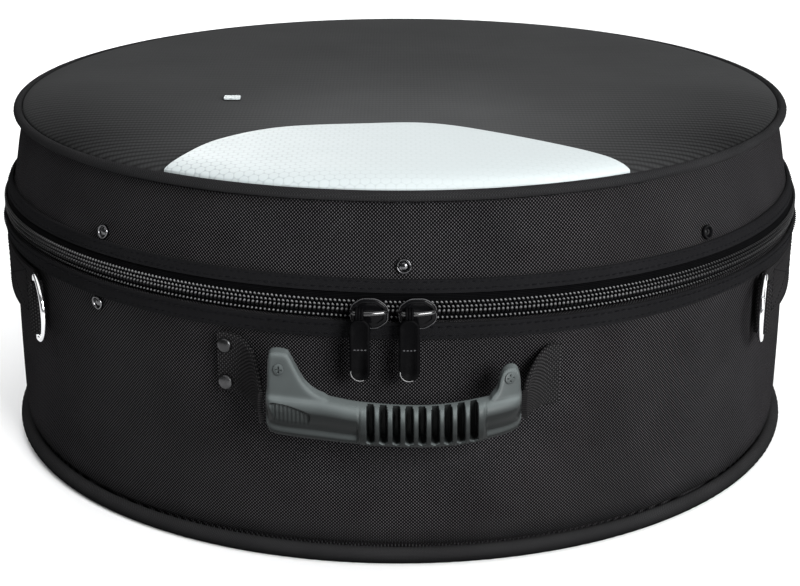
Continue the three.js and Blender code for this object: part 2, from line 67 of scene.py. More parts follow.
# Distances in metres under which points of a mesh are one point, and faces are slivers
SAME_POINT = 1e-7
SLIVER = 1e-8
# Added to a length before it divides, so that it is never zero
NEAR_ZERO = 1e-9
# Edges that bend more than this stay sharp
SHARP_EDGE = 50
# A direction that no tube's path follows
ANY_WAY = (0.31, 0.52, 0.79)

# Welts: radius and height of the roll's middle, and the roll's own radius; then the lid wall's upper seam
BASE_WELT = Sizes(r=196.4, z=3.6, roll=3.6)
LID_WELT = Sizes(r=190.4, z=163.2, roll=2.2)
SEAM_Z = 160.7

# Zip: height of its middle, azimuth of its ends, and how far it sways up and down
ZIP_Z = 118.3
ZIP_END = 150
ZIP_SWAY = 1.4
# Face of the zip's tape as rows (radius, rise over the zip's middle), and the radius of its back
ZIP_FACE = [(197.6, -5.8), (198.1, -3.4), (198.5, -1), (198.5, 1), (198.1, 3.6), (197.2, 5.6)]
ZIP_BACK = 195.8
# Teeth: how far apart, how far in degrees from the zip's ends, and how far their tips sink
TOOTH_PITCH = 1.9
TOOTH_MARGIN = 0.3
TOOTH_SAG = 0.25
# Rows of zip teeth: name, radius, rise over the zip's middle, length, girth, slant and shift along it
TEETH_ROWS = [
    ("top", 199.4, 2.35, 1.5, 0.56, -32, 0.0), ("upper", 199.4, 0.45, 1.5, 0.56, -32, 0.5),
    ("lower", 199.4, -1.6, 2, 0.62, 8, 0.45), ("foot", 198.6, -4.4, 1.2, 0.5, -20, 0.2),
]
# Gap in degrees between the zip and the cloth of the back, and that cloth's radius
HINGE_GAP = 0.09

# Sewn lines along the facing strips: name, radius and height; and how far they keep from the strips' ends
STITCH_ROWS = [
    ("body_{}_stitches", 200.75, 110.4), ("body_{}_stitches_low", 199.85, 106.2),
    ("lid_{}_stitches", 197.85, 125.9), ("lid_{}_stitches_high", 196.8, 128.6),
]
STITCH = Sizes(pitch=3.4, share=0.72, radius=0.32, sag=0.3, tape_gap=0.5, hinge_gap=0.8)

# Faces of the two walls and of the lid's crown, each row (radius, height)
LID_FACE = [(196.6, 124.2), (194.8, 129.6), (193.2, 137), (191.4, 147), (189.6, 156), (189, SEAM_Z)]
BODY_FACE = [(195, 7.5), (196.6, 14), (197, 50), (196.8, 94), (197.9, 104.5), (198.9, 112.2)]
LID_CROWN = [(188.19, 163.3), (187.3, 165.1), (182, 167.2), (172, 168.7), (150, 169.5), (90, 169.9), (0, 170)]
LID_UNDER = [(0, 157.2), (181.6, 157.2), (181.6, 161), (188.19, 161)]
BASE_FACE = [(0, 0), (185, 0), (191.6, 0.3), (192.4, 1.2), (192.4, 5.8), (191.4, 7), (0, 7)]

# Unevenness of the cloth: waves round the bag, the size of the swell, where the skin that moves begins and
# how soon it moves in full, and gathers as rows (seam, reach, size); the body lies calm towards the zip
WALL_WAVES = (2, 3, 5, 8, 13)
CROWN_WAVES = (1, 2, 3, 5)
WELT_WAVES = (190, 271)
GATHER_WAVES = (83, 107, 131)
SWELL_SLANT = 0.04
BODY_SOFT = Sizes(
    swell=0.9, skin=193, blend=2, calm_from=112, gathers=[(8, 7, 0.6), (112, 9, 0.35)],
)
LID_SOFT = Sizes(
    swell=0.8, skin=187, blend=1.5, calm_from=math.inf, gathers=[(160, 6, 0.5), (125, 6, 0.3)],
)
CALM_REACH = 12
CROWN_SOFT = Sizes(swell=0.6, skin=165, blend=3, calm_middle=60, gather=(183, 8, 0.5))
WELT_SWELL = 0.25

# Half-moon panel on the lid, points along its arched edge (x, y), and the small tag behind it
INSERT_ARCH = [
    (-104, -166), (-94, -151), (-79, -124.5), (-54, -104.5), (-18, -98),
    (14, -97.5), (45, -115.5), (85, -148), (101, -166),
]
INSERT_RIM = 187.8
INSERT_ROWS = 40
# Thickness of the panel, the share of it at the edge, and how much the share grows with each row
INSERT_EDGE = Sizes(thick=1, share=0.55, grows=0.25)
TAG = Sizes(x=-81, y=-45, width=8, depth=6.5)
# Edge of the tag as rows (inset, rise)
TAG_EDGE = [(0, 0), (0, 0.42), (0.2, 0.7), (1, 0.7)]

# Studs by the zip: name, wall, azimuth and height
STUDS = [
    ("stud_lid_front", LID_FACE, 0.5, 134.6),
    ("stud_lid_left", LID_FACE, -41.5, 133.3),
    ("stud_lid_right", LID_FACE, 43.8, 133.3),
    ("stud_body_left", BODY_FACE, -42.2, 100.8),
]
DULL_STUD = "stud_lid_right"
RIVETS = [("handle_rivet_upper", -21.6, 97), ("handle_rivet_lower", -21.6, 80.4)]
# Faces of studs, rivets and screws: heights, and places across them as shares of the radius
STUD = Sizes(radius=3.3, base=0.1, boss=0.6, boss_rise=0.8)
STUD_RING = Sizes(middle=0.83, half_width=0.17, rise=1.2)
RIVET = Sizes(radius=3.3, base=0.25, rise=1.5, out=200.1)
SCREW = Sizes(radius=2.1, rise=0.9, fall=0.25, sunk=1.1)
CROSS = Sizes(half_width=0.13, reach=0.68)
DOTS = Sizes(count=4, ring=0.5, half_width=0.2, turn=0.55)

# Zip sliders, their bails and the pulls
SLIDERS = [("left", -3.55), ("right", 2.05)]
SLIDER = Sizes(half_width=7.6, half_height=6.4, nose=3.2, drop=1.2, corner=1.8, back=200.9)
# Edge of a slider's shoe as rows (inset, rise from its back), and the place and radius of the painted
# highlight line round it
SHOE_EDGE = [(0.5, 0), (0, 0.5), (0, 1.6), (0.25, 2.1), (0.8, 2.4), (1.7, 2.4), (2.1, 1.9)]
HIGHLIGHT_LINE = Sizes(rise=2.05, radius=0.2)
# Bail of a slider as points (x, radius), which slope back to the right
BAIL = Sizes(out=206.6, radius=1.1)
BAIL_BEND = [(-6.6, 202.7), (-6.6, 205), (-5.2, 206.6), (0, 206.7), (5.2, 205.25), (6.6, 204.1), (6.6, 202.7)]
PULL = Sizes(shift=-3.6, neck=3.6, eye=1.6, loop=2.8, half_width=4.2, length=29.5)
PULL_SHOULDER = 4.6
PULL_FACE = 1.1
# Edge of a pull as rows (inset, offset from its middle)
PULL_EDGE = [
    (1.9, -0.8), (1.2, -PULL_FACE), (0.4, -1), (0, -0.5), (0, 0.5), (0.3, 1), (0.8, PULL_FACE), (1.2, 1),
    (1.7, 0.6),
]
PULL_LOOPS = Sizes(shifts=(-1.15, 0, 1.15), wire=0.6, steps=32)
PULL_DASHES = Sizes(count=4, reach=2.2, drop=15.6, sunk=0.45, length=1, radius=0.3)
PULL_RIM = Sizes(start=172, end=296, inset=0.45, sunk=0.1, radius=0.22, steps=40)

# Grip: rows of the bar (x, lower edge, upper edge, depth), ears as outlines (x, z), and the bow
GRIP_OUT = 222
GRIP_BAR = [
    (-54.6, 73.4, 87.6, 8), (-51, 70.2, 87.5, 14), (-32, 69, 87, 14), (-16, 68.2, 84.8, 14),
    (9, 67.6, 83.8, 14), (34, 68.6, 85.4, 14), (47, 70.2, 86.2, 14), (49.8, 73.4, 86.4, 8),
]
LEFT_EAR = [
    (-54.4, 78), (-30, 78), (-28, 87), (-34.5, 88.8), (-39, 92.4), (-42, 97),
    (-45.2, 102.6), (-46.6, 103.4), (-52.2, 103.4), (-53.8, 102),
]
RIGHT_EAR = [
    (36, 78), (49.4, 78), (49.4, 92.2), (47.9, 95.6), (44.9, 96.8), (41.9, 95.6), (40.4, 92.2),
    (39.6, 88.6), (36, 86),
]
EAR_DEPTH = 8
EAR_BEVEL = 1
SLOTS = Sizes(count=9, first=-11.9, pitch=5.22, width=3, bottom=69.6, depth=8.5)
SLOT_EDGE = Sizes(spread=0.2, side=0.55, slope=0.7, foot=0.6)
# Frame round the slots: how far it reaches past them, the run of its edge, and its two grooves
FRAME = Sizes(margin=4.6, run=1, groove=0.7, groove_width=0.4)
HOLLOW = Sizes(depth=2.8, middle=0.3, spread=0.24)
REST = Sizes(left=-51, right=-35.5, top=85, fall=0.016, depth=2.4, rib=1.7, rib_depth=0.3)
# Runs over which the finger rest sinks in from its left, right and lip, and from the bar's foot as shares
REST_EDGE = Sizes(left=2, right=1.5, lip=0.8, foot=(0.05, 0.25))
# Offsets between which a shallow relief comes in full, and the least sinking that gets painted shade in a
# slot
GRIP_FRONT = (0.5, 5)
SUNK_LEAST = 0.05
GRIP_SQUARE = 0.62
GRIP_SKIN = Sizes(columns=200, rows=96, voxel=0.42, softness=0.5, rounds=14)
BOW = Sizes(crest=9, left=-55, left_back=9, right=50, right_back=13)
EAR_LEAN = Sizes(above=86, slope=0.38)
SCREWS = [("grip_screw_left", -49.2, 97.4), ("grip_screw_right", 44.9, 93.4)]

# Webbing of the handle, rows (x, out, z, width) from the wall to the grip
WEBBING = 2.2
STRAP_CUP = 5.0
STRAPS = {
    "handle_strap_left": [
        (-76.5, 183.3, 89, 27), (-71, 185.5, 89, 27), (-66, 188.6, 88.2, 26),
        (-61.8, 194.5, 86, 24), (-58.6, 203, 82.6, 19), (-56.6, 211.5, 79.4, 14),
    ],
    "handle_strap_right": [
        (67, 187, 85, 27), (63, 188.5, 85, 27), (59.4, 191.2, 84.2, 25),
        (55.6, 197, 82.4, 21), (52.8, 203.6, 80.8, 16), (51.6, 209, 79.6, 13),
    ],
}

# Rings for the shoulder strap: side, azimuth and how far each stands off the wall; and their tabs
DRINGS = [("left", -56.5, 11), ("right", 56.5, 19)]
DRING = Sizes(out=201.4, z=87, bend=15.2, wire=1.3)
TAB = Sizes(low=76.5, high=102.6, inner=197.8, end=23.5, thick=1.8)
TAB_LOOP = Sizes(start=1, height=25, radius=2.6, neck=2.5, sweep=318)
BOX_STITCH = Sizes(near=5, far=1.5, margin=2.6, pitch=2.8, length=2.1, radius=0.3, sag=0.2)

# The photograph's camera, metres and degrees, and its frame in pixels
CAMERA = Sizes(back=0.86305, up=0.35926, tilt=19.45, focal=1727.84, frame=800)
SENSOR = 36

# Lights: name, place, aim, width and height in metres, power in watts; the world's glow; half the floor
LIGHTS = [
    ("overhead", (0, 0.6, 3), (0, 0.6, 0), 6, 6, 168),
    ("front", (0.92, -1.5, 0.8), (0, 0, 0.1), 0.8, 0.8, 63),
    ("back_fill", (-0.7, 1.9, 0.9), (0, 0, 0.08), 0.9, 0.9, 20),
    ("right_rim", (1.6, 0.45, 0.5), (0, 0, 0.1), 0.5, 0.9, 5),
]
GLOW = {"Color": (0.95, 0.97, 1, 1), "Strength": 0.18}
FLOOR_HALF = 6.0


# Shapes: curves, grids of points and meshes

def joined(*columns):
    """Points from their coordinates, each a number or an array."""
    return np.stack(np.broadcast_arrays(*columns), axis=-1)


def unit(vectors):
    """Rows of vectors, each brought to a length of one."""
    return vectors / (np.linalg.norm(vectors, axis=1, keepdims=True) + NEAR_ZERO)


def turns(count):
    """A whole turn in equal steps, in radians."""
    return np.linspace(0, 2 * math.pi, count, endpoint=False)


def circle(radius, turn):
    """Flat points on a circle."""
    return joined(radius * np.cos(turn), radius * np.sin(turn))


def around(r, azimuth, z):
    """Points at a distance from the axis, an azimuth in radians and a height."""
    return joined(r * np.sin(azimuth), -r * np.cos(azimuth), z)


def spline(points, per_span=8):
    """A smooth open curve through the points."""
    points = np.asarray(points, float)
    ends = np.vstack([2 * points[0] - points[1], points, 2 * points[-1] - points[-2]])
    t = np.linspace(0, 1, per_span, endpoint=False)[:, None]
    spans = []
    for a, b, c, d in zip(ends, ends[1:], ends[2:], ends[3:]):
        bend = (2 * a - 5 * b + 4 * c - d) * t**2 + (3 * b - a - 3 * c + d) * t**3
        spans.append(b + ((c - a) * t + bend) / 2)
    return np.vstack([*spans, points[-1:]])


def rounded(corners, radius, steps=5, most=0.45):
    """A closed outline with its corners rounded off, over at most a share of each edge."""
    corners = np.asarray(corners, float)

    def along(edge):
        length = np.linalg.norm(edge, axis=1, keepdims=True)
        return edge / length * np.minimum(radius, most * length)

    start = (corners + along(np.roll(corners, 1, 0) - corners))[:, None]
    end = (corners + along(np.roll(corners, -1, 0) - corners))[:, None]
    t = np.linspace(0, 1, steps)[None, :, None]
    curve = (1 - t) ** 2 * start + 2 * t * (1 - t) * corners[:, None] + t**2 * end
    return curve.reshape(-1, corners.shape[1])


def run_length(points):
    """Distance along a row of points, from its first one."""
    steps = np.linalg.norm(np.diff(points, axis=0), axis=1)
    return np.concatenate([[0], np.cumsum(steps)])


def add_object(name, data):
    """A new object in the scene."""
    added = bpy.data.objects.new(name, data)
    bpy.context.scene.collection.objects.link(added)
    return added


def new_piece(name, points, faces, cloth, body="bag"):
    """A mesh piece on a body; cloth is each face corner's place on the flat material, in millimetres."""
    mesh = bpy.data.meshes.new(name)
    mesh.from_pydata((np.asarray(points) * MM).tolist(), [], faces)
    mesh.uv_layers.new(name="cloth").data.foreach_set("uv", np.asarray(cloth, np.float32).ravel())
    piece = add_object(name, mesh)
    tidy_mesh(mesh)
    mesh.shade_smooth()
    mesh.set_sharp_from_angle(angle=math.radians(SHARP_EDGE))
    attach(piece, body)
    return piece


def tidy_mesh(mesh):
    """Points at one place joined, slivers taken out and faces turned outwards."""
    shape = bmesh.new()
    shape.from_mesh(mesh)
    bmesh.ops.remove_doubles(shape, verts=shape.verts, dist=SAME_POINT)
    bmesh.ops.dissolve_degenerate(shape, edges=shape.edges, dist=SLIVER)
    bmesh.ops.recalc_face_normals(shape, faces=shape.faces)
    shape.to_mesh(mesh)
    shape.free()


def grid_piece(name, points, cloth, wrap_rows=False, wrap_columns=False, **kind):
    """A skin over a grid of points; rows that wrap and columns that don't are closed by end faces."""
    rows, columns = points.shape[:2]
    i, j = np.meshgrid(
        np.arange(rows if wrap_rows else rows - 1),
        np.arange(columns if wrap_columns else columns - 1),
        indexing="ij",
    )
    row = np.stack([i, i, i + 1, i + 1], -1).reshape(-1, 4)
    column = np.stack([j, j + 1, j + 1, j], -1).reshape(-1, 4)
    faces = ((row % rows) * columns + column % columns).tolist()
    layout = cloth[row, column].reshape(-1, 2)
    if wrap_rows and not wrap_columns:
        for end in (0, columns - 1):
            faces.append([k * columns + end for k in range(rows)])
            layout = np.vstack([layout, cloth[:rows, end]])
    return new_piece(name, points.reshape(-1, 3), faces, layout, **kind)


def merge(piece, *others):
    """Other pieces made part of a piece."""
    for other in others:
        other.parent = None
    with bpy.context.temp_override(
        active_object=piece, object=piece, selected_objects=[piece, *others],
        selected_editable_objects=[piece, *others],
    ):
        bpy.ops.object.join()


def zip_sway(azimuth, z):
    """The zip dips at the front right and rises at the front left, and the walls follow it."""
    above = (SEAM_Z - z) / (SEAM_Z - ZIP_Z)
    reach = np.where(z > ZIP_Z, above, z / ZIP_Z)
    return -ZIP_SWAY * np.clip(reach, 0, 1) * np.sin(2 * azimuth)


def ring_piece(name, section, start=-180, end=180, relief=None, sways=True, disc=False):
    """A section of (radius, height) turned about the axis, with a relief that moves its skin outwards.

    A section closes on itself; a disc's begins and ends on the axis, and its cloth lies flat.
    """
    section = np.asarray(section, float)
    whole = end - start == 360
    steps = round(RING_STEPS * (end - start) / 360)
    azimuth = np.radians(np.linspace(start, end, steps + 1))
    r, z = section[:, :1], section[:, 1:]
    move = relief(azimuth[None, :], r, z) if relief else np.zeros((len(section), steps + 1))
    heading = unit(np.roll(section, -1, 0) - np.roll(section, 1, 0))
    height = z - heading[:, :1] * move
    if sways:
        height = height + zip_sway(azimuth[None, :], z)
    points = around(r + heading[:, 1:] * move, azimuth[None, :], height)
    if disc:
        cloth = points[..., :2] + FLAT_SHIFT
    else:
        across = run_length(np.vstack([section, section[:1]]))
        along = (azimuth - azimuth[0]) * section[:, 0].max()
        cloth = joined(along[None, :], across[:, None])
    grid = points[:, :-1] if whole else points
    return grid_piece(name, grid, cloth, wrap_rows=not disc, wrap_columns=whole)


def swell(azimuth, z, waves, size):
    """Slow unevenness of soft cloth, never out past its true face."""
    total = 0
    for count in waves:
        phase = draws.uniform(0, 2 * math.pi)
        lean = draws.uniform(-SWELL_SLANT, SWELL_SLANT)
        total = total + np.cos(count * azimuth + phase + lean * z)
    return -size * (0.5 - total / (2 * len(waves)))


def pucker(azimuth, z, seam, reach, size):
    """Small gathers along a sewn seam, which fade away from it."""
    return swell(azimuth, 0 * z, GATHER_WAVES, size) * np.exp(-np.abs(z - seam) / reach)


def frames_on_ring(r, azimuth, z):
    """Places on a ring, with directions along it, up and out; azimuths in radians."""
    along = joined(np.cos(azimuth), np.sin(azimuth), 0.0)
    up = np.broadcast_to([0.0, 0.0, 1.0], along.shape)
    return around(r, azimuth, z), along, up, np.cross(along, up)


def pill(length, radius, sag=0.0, sides=6):
    """Points and faces of one stitch or tooth: a rounded rod along its first axis, ends sunk by sag."""
    share = np.array([[-1], [-0.78], [0], [0.78], [1]])
    girth = radius * np.array([[0.3], [0.82], [1], [0.82], [0.3]])
    turn = turns(sides)
    points = joined(share * length / 2, girth * np.cos(turn), girth * np.sin(turn) - sag * share**2)
    ring = np.arange(points[..., 0].size).reshape(-1, sides)
    after = np.roll(ring, -1, 1)
    skin = np.stack([ring[:-1], after[:-1], after[1:], ring[1:]], -1).reshape(-1, 4)
    return points.reshape(-1, 3), [*skin.tolist(), ring[0].tolist(), ring[-1].tolist()]


def many(name, template, frames, **kind):
    """One piece made of a template set at each place, with its axes along, up and out."""
    points, faces = template
    place, along, up, out = (part[:, None] for part in frames)
    spread = place + points[:, :1] * along + points[:, 1:2] * up + points[:, 2:] * out
    every = [[corner + k * len(points) for corner in face] for k in range(len(place)) for face in faces]
    shift = draws.uniform(0, SCATTER, (len(place), 1, 2))
    cloth = points[np.concatenate(faces), :2] + shift + LAYOUT_SHIFT
    return new_piece(name, spread.reshape(-1, 3), every, cloth.reshape(-1, 2), **kind)


def stitch_row(name, r, z, start, end):
    """A sewn line round the bag, a rod for each stitch."""
    count = int(math.radians(end - start) * r / STITCH.pitch)
    azimuth = np.radians(np.linspace(start, end, count, endpoint=False))
    height = z + zip_sway(azimuth, np.full(count, float(z)))
    stitch = pill(STITCH.share * STITCH.pitch, STITCH.radius, STITCH.sag)
    finish(many(name, stitch, frames_on_ring(r, azimuth, height)), THREAD, "binding")


def tube(name, path, radius, sides=16, closed=False, **kind):
    """A round rod along a path."""
    path = np.asarray(path, float)
    heading = unit(np.roll(path, -1, 0) - np.roll(path, 1, 0) if closed else np.gradient(path, axis=0))
    normal = np.cross(heading, ANY_WAY)
    for k in range(1, len(path)):
        normal[k] = normal[k - 1] - heading[k] * (normal[k - 1] @ heading[k])
    normal = unit(normal)
    side = np.cross(heading, normal)
    turn = turns(sides)[:, None, None]
    points = path + radius * (np.cos(turn) * normal + np.sin(turn) * side)
    length = run_length(np.vstack([path, path[:1]]))[: len(path) + closed]
    girth = np.linspace(0, 2 * math.pi * radius, sides + 1)
    cloth = joined(length[None, :], girth[:, None]) + LAYOUT_SHIFT
    return grid_piece(name, points, cloth, wrap_rows=True, wrap_columns=closed, **kind)


def plate(name, outline, levels, place, **kind):
    """A flat piece from a closed outline: levels are rows (inset, height), place maps (x, y, height)."""
    outline = np.asarray(outline, float)
    after = np.roll(outline, -1, 0)
    heading = unit(after - np.roll(outline, 1, 0))
    turning = np.sum(outline[:, 0] * after[:, 1] - outline[:, 1] * after[:, 0])
    inward = np.sign(turning) * joined(-heading[:, 1], heading[:, 0])
    inset, height = np.array(levels, float).T
    edge = outline[:, None] + inset[:, None] * inward[:, None]
    cloth = edge - outline.min(0) + LAYOUT_SHIFT
    cloth = np.concatenate([cloth, cloth[:1]])
    points = place(joined(edge[..., 0], edge[..., 1], height))
    return grid_piece(name, points, cloth, wrap_rows=True, **kind)


def on_bag(azimuth):
    """A map from (right, up, out) at an azimuth to the bag's frame."""
    turn = math.radians(azimuth)
    right = np.array([math.cos(turn), math.sin(turn), 0])
    out = np.array([math.sin(turn), -math.cos(turn), 0])
    up = np.array([0.0, 0.0, 1.0])

    def place(points):
        return points[..., :1] * right + points[..., 1:2] * up + points[..., 2:] * out

    return place


def cap_piece(name, radius, height, place, rings=14, sides=40):
    """A small round piece whose face rises by a rule of the share of its radius and of the turn."""
    r = np.concatenate([np.linspace(0, radius, rings), [radius, 0]])[:, None]
    turn = np.linspace(0, 2 * math.pi, sides + 1)
    rise = height(r / radius, turn) + np.zeros(sides + 1)
    rise[-2:] = 0
    flat = joined(r * np.cos(turn), r * np.sin(turn), rise)
    cloth = flat[..., :2] + radius + LAYOUT_SHIFT
    return grid_piece(name, place(flat[:, :-1]), cloth, wrap_columns=True)


# Materials: node trees that read the flat cloth layout, in millimetres, or the place in the bag's frame

class Value:
    """What a finish's node gives, which takes the signs of plain sums."""

    def __init__(self, finish, socket):
        self.finish = finish
        self.socket = socket

    def __add__(self, other):
        return self.finish.math("ADD", self, other)

    def __sub__(self, other):
        return self.finish.math("SUBTRACT", self, other)

    def __rsub__(self, other):
        return self.finish.math("SUBTRACT", other, self)

    def __mul__(self, other):
        return self.finish.math("MULTIPLY", self, other)

    def __truediv__(self, other):
        return self.finish.math("DIVIDE", self, other)

    def between(self, low, high):
        """A number between low and high, by a share from 0 to 1."""
        return self.finish.math("MULTIPLY_ADD", self, high - low, low)

    def ramp(self, low, high):
        """A share that grows from 0 at low to 1 at high."""
        return self.finish.node("MapRange", (self, low, high, 0.0, 1.0))

    def hills(self, size):
        """A row of rounded humps, each as long as the size."""
        return self.finish.math("SINE", self.finish.math("FRACT", self / size) * math.pi)


class Finish:
    """A material and short calls for its nodes."""

    def __init__(self, name, **sockets):
        self.material = bpy.data.materials.new(name)
        self.material.use_nodes = True
        self.tree = self.material.node_tree
        self.shader = self.tree.nodes["Principled BSDF"]
        for socket, value in sockets.items():
            self.feed(self.shader, socket.replace("_", " "), value)

    def feed(self, node, socket, value):
        """What a node gives, or a plain number or colour, into another node's socket."""
        if isinstance(value, Value):
            self.tree.links.new(value.socket, node.inputs[socket])
        else:
            node.inputs[socket].default_value = value

    def node(self, kind, inputs=(), output=0, **settings):
        made = self.tree.nodes.new("ShaderNode" + kind)
        for key, value in settings.items():
            setattr(made, key, value)
        items = inputs.items() if isinstance(inputs, dict) else enumerate(inputs)
        for socket, value in items:
            self.feed(made, socket, value)
        return Value(self, made.outputs[output])

    def math(self, operation, *inputs):
        return self.node("Math", inputs, operation=operation)

    def part(self, vector, axis):
        """One coordinate of a vector: 0, 1 or 2 for x, y or z."""
        return self.node("SeparateXYZ", [vector], output=axis)

    def layout(self):
        """The place on the flat cloth, and its two coordinates."""
        place = self.node("UVMap", uv_map="cloth")
        return place, self.part(place, 0), self.part(place, 1)

    def place(self):
        """The place in the bag's frame, in metres."""
        return self.node("TexCoord", output=3)

    def facing_up(self):
        """How far the surface faces up, from -1 to 1."""
        return self.part(self.node("TexCoord", output=1), 2)

    def noise(self, place, scale, detail=2.0):
        return self.node("TexNoise", {"Vector": place, "Scale": scale, "Detail": detail})

    def done(self, shade, dark, light, rough, relief, depth, strength=1.0):
        """The material, with its colour by a shade from dark to light and a relief that is a depth high."""
        colour = self.node("MixRGB", (shade, (*dark, 1), (*light, 1)))
        bump = self.node("Bump", {"Strength": strength, "Distance": depth * MM, "Height": relief})
        for socket, value in (("Base Color", colour), ("Roughness", rough), ("Normal", bump)):
            self.feed(self.shader, socket, value)
        return self.material


def weave_finish(name, cell, dark, light, rough, depth, sheen, under_share=0.12, crisp=1.0, painted_shade=None):
    """Woven cloth: threads over and under each other, with slow changes of shade.

    Painted shade darkens the cloth most at a low height and leaves it from a high one: (low, high, least
    share of the light).
    """
    made = Finish(name, Sheen_Weight=sheen, Sheen_Roughness=0.45, Specular_IOR_Level=0.0)
    place, u, v = made.layout()
    across, along = u.hills(cell), v.hills(cell)
    count = made.math("FLOOR", u / cell) + made.math("FLOOR", v / cell)
    over = made.math("LESS_THAN", made.math("MODULO", count, 2.0), 0.5)
    warp = across * along.between(0.45, 1.0) * over
    weft = along * across.between(0.45, 1.0) * (1.0 - over)
    cloud, fleck = made.noise(place, 0.03), made.noise(place, 1.7)
    shade = made.math("POWER", warp + weft * under_share, crisp)
    shade = shade * cloud.between(0.6, 1.4) * fleck.between(0.6, 1.4)
    # Painted shade, darker towards the bottom of the piece
    if painted_shade:
        low, high, least = painted_shade
        shade = shade * made.part(made.place(), 2).ramp(low * MM, high * MM).between(least, 1.0)
    height = warp + weft * 0.6
    return made.done(shade, dark, light, (height * fleck).between(rough + 0.12, rough - 0.12), height, depth)


def rib_finish(name, pitch, dark, light, rough, depth, sheen):
    """Tape or thread: ribs along its length, crossed by a fine herringbone."""
    made = Finish(name, Sheen_Weight=sheen, Sheen_Roughness=0.4, Specular_IOR_Level=0.0)
    place, u, v = made.layout()
    rib = v.hills(pitch)
    slant = (u + rib * (0.45 * pitch)).hills(0.6 * pitch)
    height = rib * slant.between(0.55, 1.0)
    cloud = made.noise(place, 0.12)
    shade = height * cloud.between(0.6, 1.4)
    return made.done(shade, dark, light, cloud.between(rough - 0.1, rough + 0.1), height, depth)


def gloss_finish(name, dark, light, rough, grain=1500.0, depth=0.02, metal=0.0, gloss=0.5):
    """Moulded plastic or metal: fine grain, cloudy shade and worn spots."""
    made = Finish(name, Metallic=metal, Specular_IOR_Level=gloss)
    place = made.place()
    cloud, fine = made.noise(place, 60.0, 3.0), made.noise(place, grain)
    rub = made.noise(place, 210.0, 4.0).ramp(0.55, 0.72)
    return made.done(rub * 0.35 + cloud * 0.6, dark, light, fine * 0.16 + rub * 0.1 + rough, fine, depth, 0.6)


def teeth_finish(name, dark, light, rough):
    """Zip teeth, with painted highlights where they face up along the front, and painted shade towards the
    right side and the back.
    """
    made = Finish(name, Specular_IOR_Level=0.03)
    place = made.place()
    # Painted shade towards the back and the right side; painted highlight on the faces that look up
    front = made.part(place, 1).ramp(-0.1, -0.17)
    left = made.part(place, 0).ramp(0.16, 0.09)
    painted_light = (front * left).between(0.12, 1.0) * made.facing_up().ramp(0.05, 0.75)
    fine = made.noise(place, 2500.0)
    return made.done(painted_light * fine.between(0.6, 1.2), dark, light, fine * 0.16 + rough, fine, 0.02, 0.6)


def lid_finish(name, rib, dark, light):
    """The lid's cloth: cross ribs of small beads, with painted light in the middle and painted shade at the
    front corners.
    """
    made = Finish(name, Sheen_Weight=0.01, Sheen_Roughness=0.45, Specular_IOR_Level=0.0)
    place, u, v = made.layout()
    x, y = made.math("ABSOLUTE", u - FLAT_SHIFT), FLAT_SHIFT - v
    # Painted shade at the front corners, which also bring out the ribs there
    corner = x.ramp(40.0, 150.0) * y.ramp(0.0, 110.0)
    wide, deep = x / 110.0, (y - 95.0) / 85.0
    # Painted light, pale round the middle of the lid
    painted_light = made.math("EXPONENT", (wide * wide + deep * deep) * -1.0)
    bead = v.hills(rib) * u.hills(0.4 * rib).between(0.6, 1.0)
    cloud = made.noise(place, 0.02, 3.0)
    level = (painted_light * 0.4 + (corner * -0.42 + 0.5)) * cloud.between(0.85, 1.15)
    shade = level * ((bead - 0.5) * corner.between(0.1, 1.5) + 1.0)
    return made.done(shade, dark, light, cloud.between(0.45, 0.6), bead, 0.12)


def honeycomb_finish(name, cell, dark, light):
    """Pale cloth with a pressed pattern of scales in a honeycomb, clearest on the left."""
    made = Finish(name, Sheen_Weight=0.1, Sheen_Roughness=0.4, Specular_IOR_Level=0.3)
    place, u, v = made.layout()
    tall = math.sqrt(3)

    def spot(shift):
        x = made.math("FRACT", u / cell + shift) - 0.5
        y = (made.math("FRACT", v / (cell * tall) + shift) - 0.5) * tall
        return made.math("SQRT", x * x + y * y)

    bed = made.math("MINIMUM", spot(0.0), spot(0.5)).ramp(0.57, 0.42)
    cloud, fine = made.noise(place, 0.05), made.noise(place, 3.0)
    pressed = u.ramp(INSERT_SHIFT + 20.0, INSERT_SHIFT - 100.0) + cloud.between(0.0, 0.5)
    dip = (1.0 - bed) * pressed
    shade = (dip * -0.4 + 0.97) * fine.between(0.92, 1.06)
    return made.done(shade, dark, light, cloud.between(0.42, 0.62), dip, -0.12)


def moulded_finish(name, dark, light, rough):
    """Moulded plastic, with painted light where it faces up and painted shade down in its slots."""
    made = Finish(name, Specular_IOR_Level=0.06)
    place = made.place()
    # Painted shade down in the slots, by how deep each point lies
    sunk = made.node("Attribute", output=2, attribute_name="sunk").ramp(0.3, 2.5)
    cloud, fine = made.noise(place, 60.0, 3.0), made.noise(place, 2600.0)
    # Painted light: lighter where the surface faces up
    shade = made.facing_up().ramp(-0.05, 0.8) * cloud.between(0.75, 1.25) * (1.0 - sunk)
    return made.done(shade, dark, light, fine * 0.16 + rough, fine, 0.03, 0.6)


def floor_finish(name, dark, light, rough):
    """A pale floor with a faint cloud."""
    made = Finish(name, Specular_IOR_Level=0.25)
    place = made.place()
    cloud, fine = made.noise(place, 3.0, 4.0), made.noise(place, 900.0)
    return made.done(cloud, dark, light, rough, fine, 0.05, 0.3)


